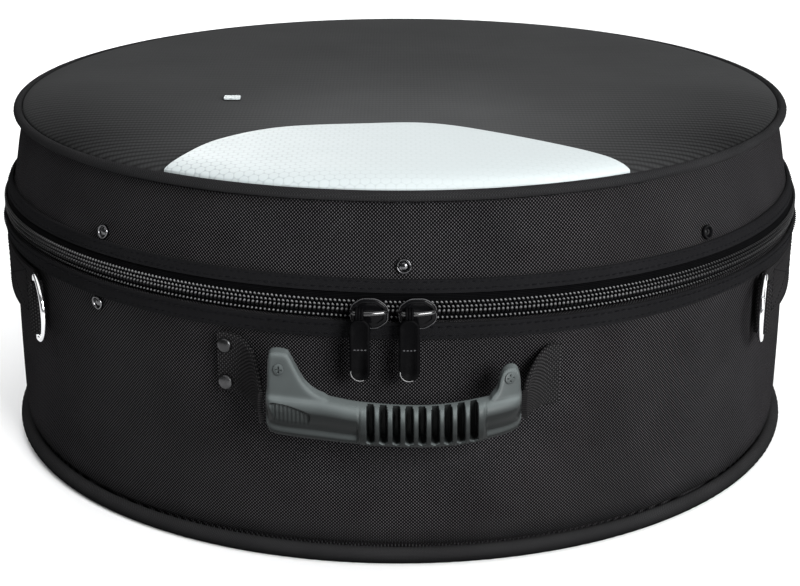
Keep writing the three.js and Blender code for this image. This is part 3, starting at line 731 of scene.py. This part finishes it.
# Finishes: each mixes a dark and a light colour
NYLON_LOOK = {
    "cell": 0.76, "dark": (0.0005, 0.0005, 0.0006), "light": (0.066, 0.0635, 0.067),
    "rough": 0.55, "depth": 0.22, "sheen": 0.005, "crisp": 1.6,
}
NYLON = weave_finish("nylon_weave", **NYLON_LOOK)
# The body's cloth has painted shade low down, along the seam above the foot welt
BODY_NYLON = weave_finish("body_weave", painted_shade=(7, 17, 0.35), **NYLON_LOOK)
LID_CLOTH = lid_finish("lid_weave", 4.2, (0.002, 0.002, 0.002), (0.053, 0.054, 0.055))
BINDING = weave_finish(
    "binding", 0.42, (0.0015, 0.0015, 0.0017), (0.013, 0.013, 0.014), 0.5, 0.08, 0.01, under_share=0.6,
)
WELT_LOOK = {
    "cell": 0.6, "dark": (0.002, 0.002, 0.0022), "rough": 0.5, "depth": 0.1, "sheen": 0.005,
    "under_share": 0.45,
}
WELT_CLOTH = weave_finish("welt", light=(0.032, 0.032, 0.033), **WELT_LOOK)
# The foot welt has painted shade on its lower side, towards the floor
FOOT_WELT_CLOTH = weave_finish(
    "foot_welt", light=(0.044, 0.044, 0.045), painted_shade=(1.5, 7.5, 0.06), **WELT_LOOK,
)
ZIP_TAPE = rib_finish("zip_tape", 0.7, (0.0005, 0.0005, 0.0006), (0.003, 0.003, 0.0033), 0.7, 0.12, 0.01)
WEBBING_CLOTH = weave_finish(
    "webbing", 0.9, (0.0005, 0.0005, 0.0006), (0.036, 0.035, 0.036), 0.6, 0.25, 0.005, under_share=0.3,
)
THREAD = rib_finish("thread", 0.5, (0.001, 0.001, 0.0012), (0.008, 0.008, 0.009), 0.6, 0.05, 0.02)
PALE_THREAD = rib_finish("pale_thread", 0.5, (0.02, 0.02, 0.022), (0.075, 0.075, 0.078), 0.6, 0.05, 0.02)
TEETH = teeth_finish("zip_teeth", (0.003, 0.003, 0.0033), (0.15, 0.15, 0.152), 0.25)
HARDWARE = gloss_finish(
    "hardware_black", (0.001, 0.001, 0.0012), (0.005, 0.005, 0.0055), 0.1, 1800.0, gloss=0.06,
)
PULL_SATIN = gloss_finish(
    "pull_satin", (0.0008, 0.0008, 0.001), (0.003, 0.003, 0.0032), 0.45, depth=0.03, gloss=0.02,
)
GLOSS_BLACK = gloss_finish(
    "gloss_black", (0.002, 0.002, 0.0022), (0.008, 0.008, 0.0085), 0.04, 1800.0, 0.01, gloss=0.7,
)
# Painted highlight along the sliders' edges
EDGE_HIGHLIGHT = gloss_finish("painted_edge_highlight", (0.01, 0.01, 0.011), (0.08, 0.08, 0.082), 0.3, gloss=0.3)
# Painted highlight along the pulls' rims
PAINTED_RIM_HIGHLIGHT = gloss_finish("painted_rim_highlight", (0.05, 0.05, 0.051), (0.26, 0.26, 0.262), 0.25, gloss=0.3)
RIVET_METAL = gloss_finish("rivet_metal", (0.03, 0.03, 0.031), (0.09, 0.09, 0.092), 0.25, metal=1.0)
STUD_METAL = gloss_finish("stud_metal", (0.07, 0.07, 0.073), (0.15, 0.15, 0.154), 0.05, depth=0.01, metal=1.0)
STEEL = gloss_finish("steel", (0.62, 0.62, 0.63), (0.86, 0.86, 0.87), 0.06, depth=0.008, metal=1.0)
GRIP_PLASTIC = moulded_finish("grip_plastic", (0.008, 0.009, 0.009), (0.086, 0.098, 0.098), 0.28)
PALE = honeycomb_finish("pale_weave", 4.2, (0.1, 0.112, 0.115), (0.375, 0.412, 0.417))
FLOOR = floor_finish("floor", (0.83, 0.835, 0.84), (0.88, 0.88, 0.88), 0.55)


def finish(piece, material, slot, *nodes):
    """A piece gets its material and hides the solids that it stands for; its slot in the record is not used.
    """
    piece.data.materials.clear()
    piece.data.materials.append(material)
    if nodes:
        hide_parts(*nodes)


# Padded shell

def wall_section(face):
    outer = spline(face, 6)
    first, last = outer[0], outer[-1]
    inner = [(last[0] - PADDING, last[1]), (first[0] - PADDING, first[1])]
    return rounded(np.vstack([outer, inner]), EDGE_ROUND.wall, 3)


def wall_relief(soft):
    """A wall's outer skin, uneven and gathered along its seams."""

    def relief(azimuth, r, z):
        skin = np.clip((r - soft.skin) / soft.blend, 0, 1)
        slow = swell(azimuth, z, WALL_WAVES, soft.swell)
        seams = sum(pucker(azimuth, z, *gather) for gather in soft.gathers)
        return skin * (slow * np.clip((soft.calm_from - z) / CALM_REACH, 0, 1) + seams)

    return relief


def crown_relief(azimuth, r, z):
    """The lid's top, calm in its middle and gathered along its rim."""
    skin = np.clip((z - CROWN_SOFT.skin) / CROWN_SOFT.blend, 0, 1)
    slow = swell(azimuth, r, CROWN_WAVES, CROWN_SOFT.swell) * np.clip(r / CROWN_SOFT.calm_middle, 0, 1)
    return skin * (slow + pucker(azimuth, r, *CROWN_SOFT.gather))


def welt_relief(welt):
    """Fine unevenness on a welt's outer side; its inner side keeps to the seam."""

    def relief(azimuth, r, z):
        return swell(azimuth, 0 * z, WELT_WAVES, WELT_SWELL) * np.clip((r - welt.r) / welt.roll, 0, 1)

    return relief


def welt_section(welt):
    return circle(welt.roll, turns(24)) + [welt.r, welt.z]


def make_shell():
    body = ring_piece("body_wall_cloth", wall_section(BODY_FACE), relief=wall_relief(BODY_SOFT))
    lid = ring_piece("lid_wall_cloth", wall_section(LID_FACE), relief=wall_relief(LID_SOFT))
    crown = np.vstack([LID_UNDER, spline(LID_CROWN, 10)])
    top = ring_piece("lid_panel_cloth", crown, relief=crown_relief, sways=False, disc=True)
    base = ring_piece("base_panel_cloth", BASE_FACE, sways=False, disc=True)
    finish(body, BODY_NYLON, "nylon_weave", "body_wall")
    finish(lid, NYLON, "nylon_weave", "lid_wall")
    finish(top, LID_CLOTH, "lid_weave", "lid_panel")
    finish(base, NYLON, "nylon_weave", "base_panel")
    for name, welt, cloth in (("base_welt", BASE_WELT, FOOT_WELT_CLOTH), ("lid_welt", LID_WELT, WELT_CLOTH)):
        roll = ring_piece(name + "_piping", welt_section(welt), relief=welt_relief(welt), sways=False)
        finish(roll, cloth, "binding", name)


# Zip band: facing strips, tape, teeth and the panel behind

def strip_section(face):
    """A facing strip, a little clear of the wall that it lies on."""
    curve = spline(face, 8)
    over = curve + [LIFT + TAPE, 0]
    under = curve + [STRIP_LIFT, 0]
    return rounded(np.vstack([over, under[::-1]]), EDGE_ROUND.strip, 3)


def zip_tape_section():
    outer = [(r, ZIP_Z + rise) for r, rise in ZIP_FACE]
    inner = [(ZIP_BACK, outer[-1][1]), (ZIP_BACK, outer[0][1])]
    return rounded(outer + inner, EDGE_ROUND.zip, 3)


def tooth_frames(out, rise, slant, shift):
    """Places of a row of teeth round the zip, with each tooth's rod leaned by its slant."""
    count = int(math.radians(2 * ZIP_END) * out / TOOTH_PITCH)
    azimuth = np.radians(np.linspace(-ZIP_END, ZIP_END, count)) + shift * TOOTH_PITCH / out
    azimuth = azimuth[np.abs(azimuth) < math.radians(ZIP_END - TOOTH_MARGIN)]
    level = np.full(len(azimuth), ZIP_Z + rise)
    place, along, up, out_way = frames_on_ring(out, azimuth, level + zip_sway(azimuth, level))
    lean = math.radians(slant)
    rod = math.cos(lean) * up + math.sin(lean) * along
    return place, rod, np.cross(out_way, rod), out_way


def make_zip_band():
    tape = ring_piece("zip_tape_cloth", zip_tape_section(), -ZIP_END, ZIP_END)
    finish(tape, ZIP_TAPE, "zip_black", "zip_chain")
    for row, out, rise, length, girth, slant, shift in TEETH_ROWS:
        tooth = pill(length, girth, TOOTH_SAG)
        teeth = many(f"zip_teeth_{row}", tooth, tooth_frames(out, rise, slant, shift))
        finish(teeth, TEETH, "zip_black")
    low, high = BODY_FACE[-2:], LID_FACE[:2]
    for side, face in (("body", low), ("lid", high)):
        strip = ring_piece(f"{side}_tape_strip", strip_section(face), -ZIP_END, ZIP_END)
        finish(strip, BINDING, "binding", f"{side}_tape")
    start, end = ZIP_END + HINGE_GAP, 360 - ZIP_END - HINGE_GAP
    hinge = ring_piece("back_hinge_cloth", strip_section(low + high), start, end)
    finish(hinge, NYLON, "nylon_weave", "back_hinge")
    tall = high[-1][1] - low[0][1]
    tall * MM
    tape_end, hinge_start = ZIP_END - STITCH.tape_gap, ZIP_END + STITCH.hinge_gap
    for name, r, z in STITCH_ROWS:
        stitch_row(name.format("tape"), r, z, -tape_end, tape_end)
        stitch_row(name.format("hinge"), r, z, hinge_start, 360 - hinge_start)


# Marks on the lid

def crown_height(r):
    rows = np.array(LID_CROWN)[::-1]
    curve = spline(rows, 10)
    return np.interp(r, curve[:, 0], curve[:, 1])


def make_lid_insert():
    """The half-moon panel: rows of points from the lid's rim to its arched edge, on the crown."""
    arch = spline(INSERT_ARCH, 14)
    arch = arch[np.hypot(arch[:, 0], arch[:, 1]) < INSERT_RIM]
    ends = np.arctan2(arch[[0, -1], 0], -arch[[0, -1], 1])
    turn = np.linspace(ends[0], ends[1], len(arch))
    rim = around(INSERT_RIM, turn, 0)[:, :2]
    share = np.linspace(0, 1, INSERT_ROWS)[:, None, None]
    flat = (1 - share) * rim + share * arch
    level = crown_height(np.hypot(flat[..., 0], flat[..., 1])) + LIFT
    rows_in = np.minimum(share, 1 - share)[..., 0] * (INSERT_ROWS - 1)
    full = np.clip(INSERT_EDGE.share + INSERT_EDGE.grows * rows_in, 0, 1)
    top = np.dstack([flat, level + INSERT_EDGE.thick * full])
    under = np.dstack([flat, level])[::-1]
    skin = np.concatenate([top, under])
    cloth = np.concatenate([skin[..., :2], skin[:1, :, :2]]) + INSERT_SHIFT
    insert = grid_piece("lid_insert_cloth", skin, cloth, wrap_rows=True)
    finish(insert, PALE, "pale_weave", "lid_insert")


def make_lid_tag():
    x, y = TAG.width / 2, TAG.depth / 2
    outline = rounded([(-x, -y), (x, -y), (x, y), (-x, y)], EDGE_ROUND.tag)
    level = float(crown_height(math.hypot(TAG.x, TAG.y))) + LIFT
    place = np.array([TAG.x, TAG.y, level])
    tag = plate("lid_tag_cloth", outline, TAG_EDGE, lambda points: points + place)
    finish(tag, PALE, "pale_weave", "lid_tag")


# Studs, rivets and screws

def wall_at(face, z):
    """A wall's radius at a height, and how fast the radius grows there."""
    rows = np.array(face)
    below, r, above = np.interp([z - 1, z, z + 1], rows[:, 1], rows[:, 0])
    return r, (above - below) / 2


def tilted(place, middle, lean):
    """A place map with the piece leaned back about its own level line."""
    c, s = math.cos(lean), math.sin(lean)

    def move(points):
        x, y, z = np.moveaxis(points, -1, 0)
        return place(joined(x, y * c - z * s, y * s + z * c) + middle)

    return move


def stud_height(share, turn):
    """A ring round a low boss."""
    across = (share - STUD_RING.middle) / STUD_RING.half_width
    ring = np.sqrt(np.clip(1 - across**2, 0, None))
    boss = np.clip(1 - (share / STUD.boss) ** 2, 0, None)
    return STUD_RING.rise * ring + STUD.boss_rise * boss + STUD.base


def rivet_height(share, turn):
    """A round dome."""
    return RIVET.base + RIVET.rise * np.sqrt(np.clip(1 - share**2, 0, None))


def cross_screw(share, turn):
    """A low dome with a sunk cross."""
    wing = np.minimum(np.abs(np.sin(turn)), np.abs(np.cos(turn))) * share
    sunk = (wing < CROSS.half_width) & (share < CROSS.reach)
    return SCREW.rise - SCREW.fall * share**2 - SCREW.sunk * sunk


def dot_screw(share, turn):
    """A low dome with a ring of sunk dots."""
    sunk = (np.abs(share - DOTS.ring) < DOTS.half_width) & (np.cos(DOTS.count * turn) > DOTS.turn)
    return SCREW.rise - SCREW.fall * share**2 - SCREW.sunk * sunk


def make_studs():
    for name, face, azimuth, z in STUDS:
        r, slope = wall_at(face, z)
        level = z + float(zip_sway(math.radians(azimuth), np.float64(z)))
        place = tilted(on_bag(azimuth), [0, level, r + LIFT], math.atan(slope))
        stud = cap_piece(name + "_cap", STUD.radius, stud_height, place, rings=28)
        finish(stud, HARDWARE if name == DULL_STUD else STUD_METAL, "hardware_black", name)
    for name, azimuth, z in RIVETS:
        place = tilted(on_bag(azimuth), [0, z, RIVET.out], 0)
        rivet = cap_piece(name + "_cap", RIVET.radius, rivet_height, place)
        finish(rivet, RIVET_METAL, "hardware_black", name)


# Sliders and pulls

def make_slider(side, azimuth):
    place = on_bag(azimuth)
    w, h, nose, back = SLIDER.half_width, SLIDER.half_height, SLIDER.nose, SLIDER.back
    corners = [(-w, -nose), (-nose, -h), (nose, -h), (w, -nose), (w, nose), (nose, h), (-nose, h), (-w, nose)]
    outline = rounded(corners, SLIDER.corner) + [0, ZIP_Z - SLIDER.drop]
    shoe = plate(f"slider_{side}_shoe", outline, [(inset, back + rise) for inset, rise in SHOE_EDGE], place)
    bend = spline([(x, ZIP_Z, out) for x, out in BAIL_BEND], 8)
    bail = tube(f"slider_{side}_bail", place(bend), BAIL.radius)
    # A thin pale tube round the shoe is a painted highlight along its edge
    line = joined(*outline.T, back + HIGHLIGHT_LINE.rise)
    edge = tube(f"slider_{side}_edge", place(line), HIGHLIGHT_LINE.radius, 8, closed=True)
    finish(shoe, HARDWARE, "hardware_black", f"slider_{side}")
    finish(bail, GLOSS_BLACK, "hardware_black")
    finish(edge, EDGE_HIGHLIGHT, "hardware_black")
    make_pull(f"pull_{side}", place)


def make_pull(body, place):
    """A pull that hangs on its bail by three loops, with a row of dashes and a painted highlight along its
    rim.
    """
    w, neck, shift, out = PULL.half_width, PULL.neck / 2, PULL.shift, BAIL.out
    loop = (PULL.eye + PULL.loop) / 2
    foot = w - PULL.length
    arc = circle(w, np.radians(np.linspace(180, 360, 13))) + [0, foot]
    corners = [(neck, -loop), (-neck, -loop), (-w, -PULL_SHOULDER), *arc.tolist(), (w, -PULL_SHOULDER)]
    outline = rounded(corners, EDGE_ROUND.pull, 4) + [shift, ZIP_Z]
    tab = plate(f"{body}_tab", outline, [(inset, out + rise) for inset, rise in PULL_EDGE], place, body=body)
    turn = turns(PULL_LOOPS.steps)
    loops = []
    for x in PULL_LOOPS.shifts:
        path = joined(shift + x, ZIP_Z + loop * np.cos(turn), out + loop * np.sin(turn))
        loops.append(tube(f"{body}_loop", place(path), PULL_LOOPS.wire, 12, closed=True, body=body))
    merge(tab, *loops)
    finish(tab, PULL_SATIN, "hardware_black", body)
    x = shift + np.linspace(-PULL_DASHES.reach, PULL_DASHES.reach, PULL_DASHES.count)
    seats = place(joined(x, ZIP_Z - PULL_DASHES.drop, out + PULL_FACE - PULL_DASHES.sunk))
    ways = [np.broadcast_to(way, seats.shape) for way in place(np.eye(3))]
    dash = pill(PULL_DASHES.length, PULL_DASHES.radius)
    dashes = many(f"{body}_dashes", dash, (seats, *ways), body=body)
    finish(dashes, PALE_THREAD, "hardware_black")
    # A pale bead round the lower left of the foot is a painted highlight
    turn = np.radians(np.linspace(PULL_RIM.start, PULL_RIM.end, PULL_RIM.steps))
    reach = w - PULL_RIM.inset
    x, z = circle(reach, turn).T
    bead = joined(shift + x, ZIP_Z + foot + z, out + PULL_FACE - PULL_RIM.sunk)
    rim = tube(f"{body}_rim", place(bead), PULL_RIM.radius, 10, body=body)
    finish(rim, PAINTED_RIM_HIGHLIGHT, "hardware_black")


# Grip and its webbing

def grip_back(x, z):
    """How far the grip is set back towards the bag at a place on its front."""
    past = x - BOW.crest
    left = BOW.left_back * (past / (BOW.left - BOW.crest)) ** 2
    right = BOW.right_back * (past / (BOW.right - BOW.crest)) ** 2
    return np.where(past < 0, left, right) + EAR_LEAN.slope * np.clip(z - EAR_LEAN.above, 0, None)


def on_grip(points):
    """From (x, z, offset from the bar's middle) to the bag's frame."""
    x, z, out = np.moveaxis(points, -1, 0)
    return joined(x, grip_back(x, z) - GRIP_OUT - out, z)


def smooth_step(value, low, high):
    t = np.clip((value - low) / (high - low), 0, 1)
    return t * t * (3 - 2 * t)


def hump(value, middle, width):
    return np.exp(-(((value - middle) / width) ** 2))


def slot_depth(x, z):
    """How deep the slots go at a place on the bar's front."""
    depth = np.zeros(len(x))
    for k in range(SLOTS.count):
        off = np.abs(x - SLOTS.first - k * SLOTS.pitch)
        side = smooth_step(SLOTS.width / 2 + SLOT_EDGE.spread - off, 0, SLOT_EDGE.side)
        above = smooth_step(z - SLOTS.bottom - SLOT_EDGE.slope * off, 0, SLOT_EDGE.foot)
        depth = np.maximum(depth, SLOTS.depth * side * above)
    return depth


def rest_depth(x, z, share):
    """How deep the ribbed finger rest goes, under its curved lip; share is the place up the bar."""
    left, right = REST.left, REST.right
    lip = REST.top - REST.fall * (x - left) ** 2
    rest = smooth_step(x, left - REST_EDGE.left, left)
    rest = rest * smooth_step(-x, -right, REST_EDGE.right - right)
    rest = rest * smooth_step(lip - z, 0, REST_EDGE.lip) * smooth_step(share, *REST_EDGE.foot)
    return rest * (REST.depth + REST.rib_depth * np.cos(2 * math.pi * x / REST.rib))


def hollow_depth(x, share):
    """How deep the long hollow goes, on both sides of the slots' frame, and the frame's two grooves."""
    start = SLOTS.first - FRAME.margin
    end = SLOTS.first + (SLOTS.count - 1) * SLOTS.pitch + FRAME.margin
    framed = smooth_step(x, start - FRAME.run, start) * smooth_step(-x, -end - FRAME.run, -end)
    depth = HOLLOW.depth * hump(share, HOLLOW.middle, HOLLOW.spread) * (1 - framed)
    for edge in (start, end):
        depth = depth + FRAME.groove * hump(x, edge, FRAME.groove_width)
    return depth


def grip_rows(x):
    """Lower edge, upper edge and depth of the bar along it."""
    dense = spline(GRIP_BAR, 12)
    return tuple(np.interp(x, dense[:, 0], dense[:, k]) for k in (1, 2, 3))


def grip_blank():
    """The bar and its two ears run together and rounded off, in the grip's own flat layout."""
    x = np.linspace(GRIP_BAR[0][0], GRIP_BAR[-1][0], GRIP_SKIN.columns)
    low, high, depth = grip_rows(x)
    turn = turns(GRIP_SKIN.rows)[:, None]
    up = np.sign(np.sin(turn)) * np.abs(np.sin(turn)) ** GRIP_SQUARE
    out = np.sign(np.cos(turn)) * np.abs(np.cos(turn)) ** GRIP_SQUARE
    points = joined(x, (low + high) / 2 + (high - low) / 2 * up, depth / 2 * out)
    bar = grid_piece("handle_grip_bar", points, np.zeros((len(turn) + 1, len(x), 2)), wrap_rows=True)
    half = EAR_DEPTH / 2
    levels = [(EAR_BEVEL, -half), (0, EAR_BEVEL - half), (0, half - EAR_BEVEL), (EAR_BEVEL, half)]
    ears = [
        plate(f"handle_grip_ear_{side}", rounded(outline, EDGE_ROUND.ear, 6), levels, np.asarray)
        for side, outline in (("left", LEFT_EAR), ("right", RIGHT_EAR))
    ]
    merge(bar, *ears)
    skin = bar.modifiers.new("skin", "REMESH")
    skin.mode = "VOXEL"
    skin.voxel_size = GRIP_SKIN.voxel * MM
    soft = bar.modifiers.new("soft", "SMOOTH")
    soft.factor, soft.iterations = GRIP_SKIN.softness, GRIP_SKIN.rounds
    shaped = bar.evaluated_get(bpy.context.evaluated_depsgraph_get())
    blank = bpy.data.meshes.new_from_object(shaped)
    bar.modifiers.clear()
    bar.data = blank
    return bar


def make_grip():
    grip = grip_blank()
    mesh = grip.data
    points = np.empty(3 * len(mesh.vertices))
    mesh.vertices.foreach_get("co", points)
    x, z, offset = points.reshape(-1, 3).T / MM
    low, high, depth = grip_rows(x)
    share = (z - low) / (high - low)
    slots = slot_depth(x, z)
    relief = np.maximum.reduce([hollow_depth(x, share), rest_depth(x, z, share), slots])
    slotted = np.minimum(offset, depth / 2 - relief)
    pressed = offset - relief * smooth_step(offset, *GRIP_FRONT)
    sunk = np.where(relief > SLOTS.depth / 2, slotted, pressed)
    mesh.vertices.foreach_set("co", (on_grip(joined(x, z, sunk)) * MM).ravel())
    # How deep each point lies in a slot, which the grip's material turns into painted shade
    inside = np.where(offset - sunk > SUNK_LEAST, slots, 0).astype(np.float32)
    mesh.attributes.new("sunk", "FLOAT", "POINT").data.foreach_set("value", inside)
    corners = np.empty(len(mesh.loops), np.int32)
    mesh.loops.foreach_get("vertex_index", corners)
    flat = joined(x + GRIP_SHIFT, z + offset)[corners].astype(np.float32)
    mesh.uv_layers.new(name="cloth").data.foreach_set("uv", flat.ravel())
    mesh.shade_smooth()
    mesh.update()
    finish(grip, GRIP_PLASTIC, "grip_plastic", "handle_grip")


def make_screws():
    heads = {"grip_screw_left": cross_screw, "grip_screw_right": dot_screw}
    for name, x, z in SCREWS:
        place = tilted(on_grip, [x, z, EAR_DEPTH / 2 + LIFT], 0)
        screw = cap_piece(name + "_head", SCREW.radius, heads[name], place, rings=24, sides=72)
        finish(screw, GRIP_PLASTIC, "hardware_black", name)


def make_straps():
    """Webbing that lies on the wall and is cupped where it narrows to the grip."""
    for name, rows in STRAPS.items():
        path = spline(rows, 12)
        x, out, z, width = path.T
        heading = unit(np.gradient(path[:, :2], axis=0))
        fine = np.linspace(-0.46, 0.46, 26)
        # Round the webbing's edge, as shares of its width and of its thickness
        section = np.vstack([
            joined(fine, -0.5), [(0.49, -0.3), (0.5, 0), (0.49, 0.3)],
            joined(fine[::-1], 0.5), [(-0.49, 0.3), (-0.5, 0), (-0.49, -0.3)],
        ])
        squeeze = 1 - width / width.max()
        offset = WEBBING * section[:, 1:] + STRAP_CUP * squeeze * (0.25 - section[:, :1] ** 2)
        forward = out + heading[:, 0] * offset
        points = joined(x - heading[:, 1] * offset, -forward, z + section[:, :1] * width)
        across = (np.append(section[:, 0], section[0, 0]) + 0.5) * width.max()
        cloth = joined(run_length(path[:, :2])[None, :], across[:, None]) + WEBBING_SHIFT
        strap = grid_piece(name + "_webbing", points, cloth, wrap_rows=True)
        finish(strap, WEBBING_CLOTH, "webbing", name)


# Rings for the shoulder strap and their tabs

def make_dring(side, azimuth, lift):
    sign = math.copysign(1, azimuth)
    bend = DRING.bend
    arc = circle(bend, np.radians(np.linspace(-90, 90, 49)))
    bar = joined(0, np.linspace(bend, -bend, 27)[1:-1])
    reach, rise = rounded(np.vstack([arc, bar]), EDGE_ROUND.ring, 3).T
    lean = math.radians(lift)
    path = joined(-sign * reach * math.cos(lean), rise + DRING.z, DRING.out + reach * math.sin(lean))
    body = f"dring_{side}"
    ring = tube(f"{body}_wire", on_bag(azimuth)(path), DRING.wire, 20, closed=True, body=body)
    finish(ring, STEEL, "steel", body)
    make_tab(side, sign, abs(azimuth))


def make_tab(side, sign, azimuth):
    """Webbing that lies on the wall and turns round the ring's bar."""
    middle = TAB.inner + TAB.thick / 2
    wall = np.radians(np.linspace(azimuth + TAB.end, azimuth + TAB_LOOP.start, 60))
    lie = around(middle, wall, 0)[:, :2]
    centre = around(DRING.out, math.radians(azimuth), 0)[:2]
    first = lie[-1] - centre
    sweep = np.linspace(0, -math.radians(TAB_LOOP.sweep), 40)[1:]
    turn = math.atan2(first[1], first[0]) + sweep
    closing = np.linspace(np.linalg.norm(first), TAB_LOOP.radius, 6)[1:]
    reach = np.pad(closing, (0, len(sweep) - len(closing)), "edge")[:, None]
    path = np.vstack([lie, centre + reach * circle(1, turn)])
    heading = unit(np.gradient(path, axis=0))
    face = joined(heading[:, 1], -heading[:, 0])
    along, loop_start = run_length(path), run_length(lie)[-1]
    looped = smooth_step(along, loop_start - TAB_LOOP.neck, loop_start)
    low = TAB.low + looped * (DRING.z - TAB_LOOP.height / 2 - TAB.low)
    high = TAB.high + looped * (DRING.z + TAB_LOOP.height / 2 - TAB.high)
    fine = np.linspace(0.015, 0.985, 30)
    edge = np.array([0.6, -0.6])
    # Round the webbing's edge, as shares of half its thickness and of its height
    section = np.vstack([joined(1, fine), joined(edge, 1), joined(-1, fine[::-1]), joined(-edge, 0)])
    plan = path + TAB.thick / 2 * section[:, :1, None] * face
    points = joined(sign * plan[..., 0], plan[..., 1], low + (high - low) * section[:, 1:])
    across = np.append(section[:, 1], section[0, 1]) * (TAB.high - TAB.low)
    cloth = joined(along[None, :], across[:, None]) + WEBBING_SHIFT
    tab = grid_piece(f"dring_tab_{side}_webbing", points, cloth, wrap_rows=True)
    finish(tab, WEBBING_CLOTH, "webbing", f"dring_tab_{side}")
    make_box_stitch(side, sign, azimuth)


def make_box_stitch(side, sign, azimuth):
    """A sewn box with a cross, which holds the tab to the wall."""
    r = TAB.inner + TAB.thick
    near, far = azimuth + BOX_STITCH.near, azimuth + TAB.end - BOX_STITCH.far
    low, high = TAB.low + BOX_STITCH.margin, TAB.high - BOX_STITCH.margin
    box = [(near, low), (far, low), (far, high), (near, high), (near, low)]
    corners = [*box, (far, high), (near, high), (far, low)]
    places, rods = [], []
    for (a0, z0), (a1, z1) in zip(corners, corners[1:]):
        span = np.array([math.radians(a1 - a0) * r, z1 - z0])
        count = max(int(np.linalg.norm(span) / BOX_STITCH.pitch), 1)
        share = (np.arange(count) + 0.5) / count
        places.append(joined(a0 + (a1 - a0) * share, z0 + (z1 - z0) * share))
        rods.append(np.tile(span / np.linalg.norm(span), (count, 1)))
    places, rods = np.vstack(places), np.vstack(rods)
    place, along, up, out = frames_on_ring(r, np.radians(sign * places[:, 0]), places[:, 1])
    rod = sign * rods[:, :1] * along + rods[:, 1:] * up
    stitch = pill(BOX_STITCH.length, BOX_STITCH.radius, BOX_STITCH.sag)
    stitches = many(f"dring_tab_{side}_stitches", stitch, (place, rod, np.cross(out, rod), out))
    finish(stitches, THREAD, "webbing")


# Stage, light and camera

def make_stage():
    mesh = bpy.data.meshes.new("floor")
    corners = [(x * FLOOR_HALF, y * FLOOR_HALF, 0) for x, y in ((-1, -1), (1, -1), (1, 1), (-1, 1))]
    mesh.from_pydata(corners, [], [(0, 1, 2, 3)])
    mesh.materials.append(FLOOR)
    add_object("floor", mesh)


def add_light(name, place, aim, width, height, power):
    lamp = bpy.data.lights.new(name, "AREA")
    lamp.shape = "RECTANGLE"
    lamp.size, lamp.size_y, lamp.energy = width, height, power
    light = add_object(name, lamp)
    light.location = place
    light.rotation_euler = (Vector(aim) - Vector(place)).to_track_quat("-Z", "Y").to_euler()


def make_light():
    world = bpy.data.worlds.new("studio")
    world.use_nodes = True
    for socket, value in GLOW.items():
        world.node_tree.nodes["Background"].inputs[socket].default_value = value
    bpy.context.scene.world = world
    for light in LIGHTS:
        add_light(*light)


def make_camera():
    lens = bpy.data.cameras.new("camera")
    lens.sensor_width = SENSOR
    lens.lens = CAMERA.focal * SENSOR / CAMERA.frame
    camera = add_object("camera", lens)
    camera.location = (0, -CAMERA.back, CAMERA.up)
    camera.rotation_euler = (math.radians(90 - CAMERA.tilt), 0, 0)
    bpy.context.scene.camera = camera


make_camera()
make_shell()
make_zip_band()
make_lid_insert()
make_lid_tag()
make_studs()
for side, azimuth in SLIDERS:
    make_slider(side, azimuth)
make_grip()
make_screws()
make_straps()
for side, azimuth, lift in DRINGS:
    make_dring(side, azimuth, lift)
make_stage()
make_light()
bpy.context.scene.view_settings.view_transform = "Standard"

bpy.context.view_layer.update()
